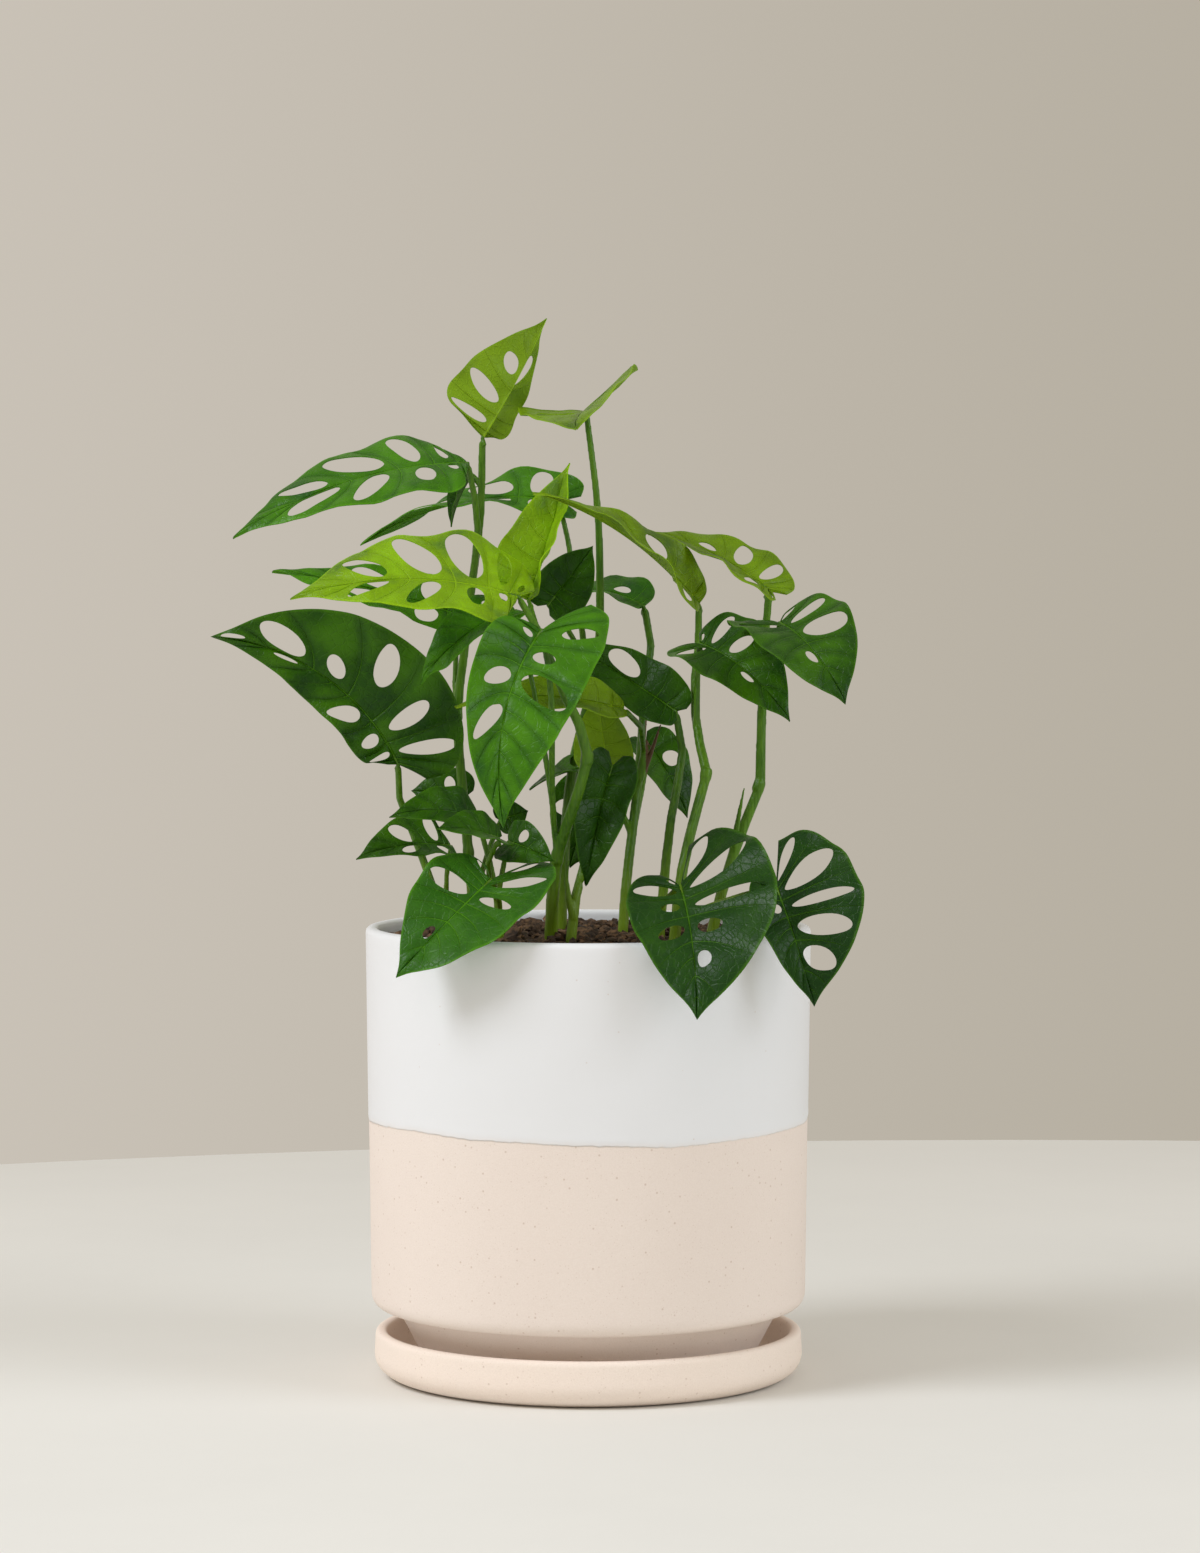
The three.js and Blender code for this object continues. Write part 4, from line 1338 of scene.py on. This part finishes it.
def round_off(stem, settings):
    """Melts a stem's tubes together and smooths them, and keeps the result as its mesh."""
    remesh = stem.modifiers.new("Round", "REMESH")
    remesh.mode = "VOXEL"
    remesh.voxel_size = settings.detail
    remesh.use_smooth_shade = True
    smooth = stem.modifiers.new("Smooth", "SMOOTH")
    smooth.factor = 0.5
    smooth.iterations = settings.rounding
    swell = stem.modifiers.new("Swell", "DISPLACE")
    swell.strength = THINNING
    swell.mid_level = 0
    view = bpy.context.evaluated_depsgraph_get()
    mesh = bpy.data.meshes.new_from_object(stem.evaluated_get(view))
    stem.modifiers.clear()
    stem.data = mesh


class BuildStems(bpy.types.Operator):
    """Rounds the stems and joins each stalk to its blade"""

    bl_idname = "monstera.build_stems"
    bl_label = "Build stems"

    def execute(self, context):
        settings = context.scene.monstera_stem
        material = stem_material(settings)
        shoots = {
            name: node.data for name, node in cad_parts.items()
            if name.startswith("shoot_")
        }
        corners = {
            name: np.array([v.co for v in mesh.vertices]) for name, mesh in shoots.items()
        }
        joints = joints_by_shoot(corners)
        for name, plain in shoots.items():
            shape = bmesh.new()
            shape.from_mesh(plain)
            bmesh.ops.remove_doubles(shape, verts=shape.verts, dist=1e-6)
            for joint, ahead in joints[name]:
                add_neck(shape, corners[name], joint, ahead)
            mesh = bpy.data.meshes.new(name + "_stem")
            shape.to_mesh(mesh)
            shape.free()
            stem = bpy.data.objects.new(name + "_stem", mesh)
            context.scene.collection.objects.link(stem)
            round_off(stem, settings)
            stem.data.materials.clear()
            stem.data.materials.append(material)
            rise = height_above_mix(stem.data)
            store(stem.data, "youth", smoothstep(1 - rise / YOUNG_HEIGHT))
            store(stem.data, "dryness", dryness(stem.data, name))
            place_piece(stem, "stem_green", name)
        return {"FINISHED"}


# ---- Stage ----

# The floor reaches further towards the camera than behind the pot, so that its far edge
# shows behind the pot.
FLOOR_CENTRE = (0.25, -0.795)
FLOOR_STEPS = 128
AIM = (5 * MM, 0, 256 * MM)


def floor_material(settings):
    material, tree, skin, _ = new_material("Pale floor")
    tint = tuple(0.96 * c for c in settings.floor_colour[:3])
    mottle = use_effect(tree, mottle_effect(), First=settings.floor_colour,
                        Second=(*tint, 1), Across=3.0, Upward=3.0)
    rough = step_between(tree, mottle["Height"], 0.2, 0.8, 0.7, 0.85)
    finish_skin(tree, skin, mottle["Colour"], rough, mottle["Height"], 0.05 * MM)
    return material


def soft_light(name, place, target, size, power, colour):
    data = bpy.data.lights.new(name, "AREA")
    data.shape = "DISK"
    data.size = size
    data.energy = power
    data.color = colour
    light = bpy.data.objects.new(name, data)
    light.location = place
    light.rotation_euler = (Vector(target) - Vector(place)).to_track_quat("-Z", "Y").to_euler()
    bpy.context.scene.collection.objects.link(light)


class BuildStage(bpy.types.Operator):
    """Adds the floor, the lights and the camera"""

    bl_idname = "monstera.build_stage"
    bl_label = "Build stage"

    def execute(self, context):
        settings = context.scene.monstera_stage
        scene = context.scene
        low, high = cad_bounds
        angles = np.linspace(0, 2 * math.pi, FLOOR_STEPS, endpoint=False)
        rim = [
            (FLOOR_CENTRE[0] + settings.floor_radius * math.cos(angle),
             FLOOR_CENTRE[1] + settings.floor_radius * math.sin(angle), low.z - 0.2 * MM)
            for angle in angles
        ]
        floor = mesh_object("stage_floor", rim, [range(FLOOR_STEPS)], floor_material(settings))
        scene.world = bpy.data.worlds.new("Room")
        scene.world.use_nodes = True
        tree = scene.world.node_tree
        side = shader_node(
            tree, "ShaderNodeSeparateXYZ",
            {0: tree.nodes.new("ShaderNodeTexCoord").outputs["Generated"]},
        )
        room = blend(tree, step_between(tree, side.outputs[0], -0.22, 0.2),
                     settings.wall_colour, settings.shade_colour)
        tree.links.new(room, tree.nodes["Background"].inputs["Color"])
        middle = (0, 0, (low.z + high.z) / 2)
        key = settings.key_power
        soft_light("Key", (-1.5, -0.95, 1.8), middle, 1.0, key, (0.9, 0.94, 1))
        soft_light("Fill", (1.8, -0.85, 1.2), middle, 1.3, 0.55 * key, (0.86, 0.92, 1))
        data = bpy.data.cameras.new("Camera")
        data.sensor_fit = "HORIZONTAL"
        data.sensor_width = 36
        data.lens = settings.lens
        data.clip_end = 20
        camera = bpy.data.objects.new("Camera", data)
        place = Vector((AIM[0], -settings.camera_distance, settings.camera_height))
        camera.location = place
        camera.rotation_euler = (Vector(AIM) - place).to_track_quat("-Z", "Y").to_euler()
        scene.collection.objects.link(camera)
        scene.camera = camera
        scene.view_settings.view_transform = "Standard"
        scene.view_settings.look = "None"
        return {"FINISHED"}


# ---- Add-on ----


GROUPS = (
    ("monstera_pot", PotSettings, BuildPot),
    ("monstera_saucer", SaucerSettings, BuildSaucer),
    ("monstera_mix", MixSettings, BuildMix),
    ("monstera_stem", StemSettings, BuildStems),
    ("monstera_leaf", LeafSettings, BuildLeaves),
    ("monstera_stage", StageSettings, BuildStage),
)


class MonsteraPanel(bpy.types.Panel):
    """Lists the sizes and colours of each group of pieces, with the button that builds it"""

    bl_idname = "VIEW3D_PT_monstera"
    bl_label = "Monstera"
    bl_space_type = "VIEW_3D"
    bl_region_type = "UI"
    bl_category = "Monstera"

    def draw(self, context):
        for name, group, operator in GROUPS:
            box = self.layout.box()
            box.operator(operator.bl_idname)
            settings = getattr(context.scene, name)
            for key in group.__annotations__:
                box.prop(settings, key)


def register():
    for name, group, operator in GROUPS:
        bpy.utils.register_class(group)
        bpy.utils.register_class(operator)
        setattr(bpy.types.Scene, name, PointerProperty(type=group))
    bpy.utils.register_class(MonsteraPanel)


def unregister():
    bpy.utils.unregister_class(MonsteraPanel)
    for name, group, operator in reversed(GROUPS):
        delattr(bpy.types.Scene, name)
        bpy.utils.unregister_class(operator)
        bpy.utils.unregister_class(group)


def main():
    register()
    bpy.ops.monstera.build_stage()
    bpy.ops.monstera.build_pot()
    bpy.ops.monstera.build_saucer()
    bpy.ops.monstera.build_mix()
    bpy.ops.monstera.build_stems()
    bpy.ops.monstera.build_leaves()
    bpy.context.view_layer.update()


if __name__ == "__main__":
    main()
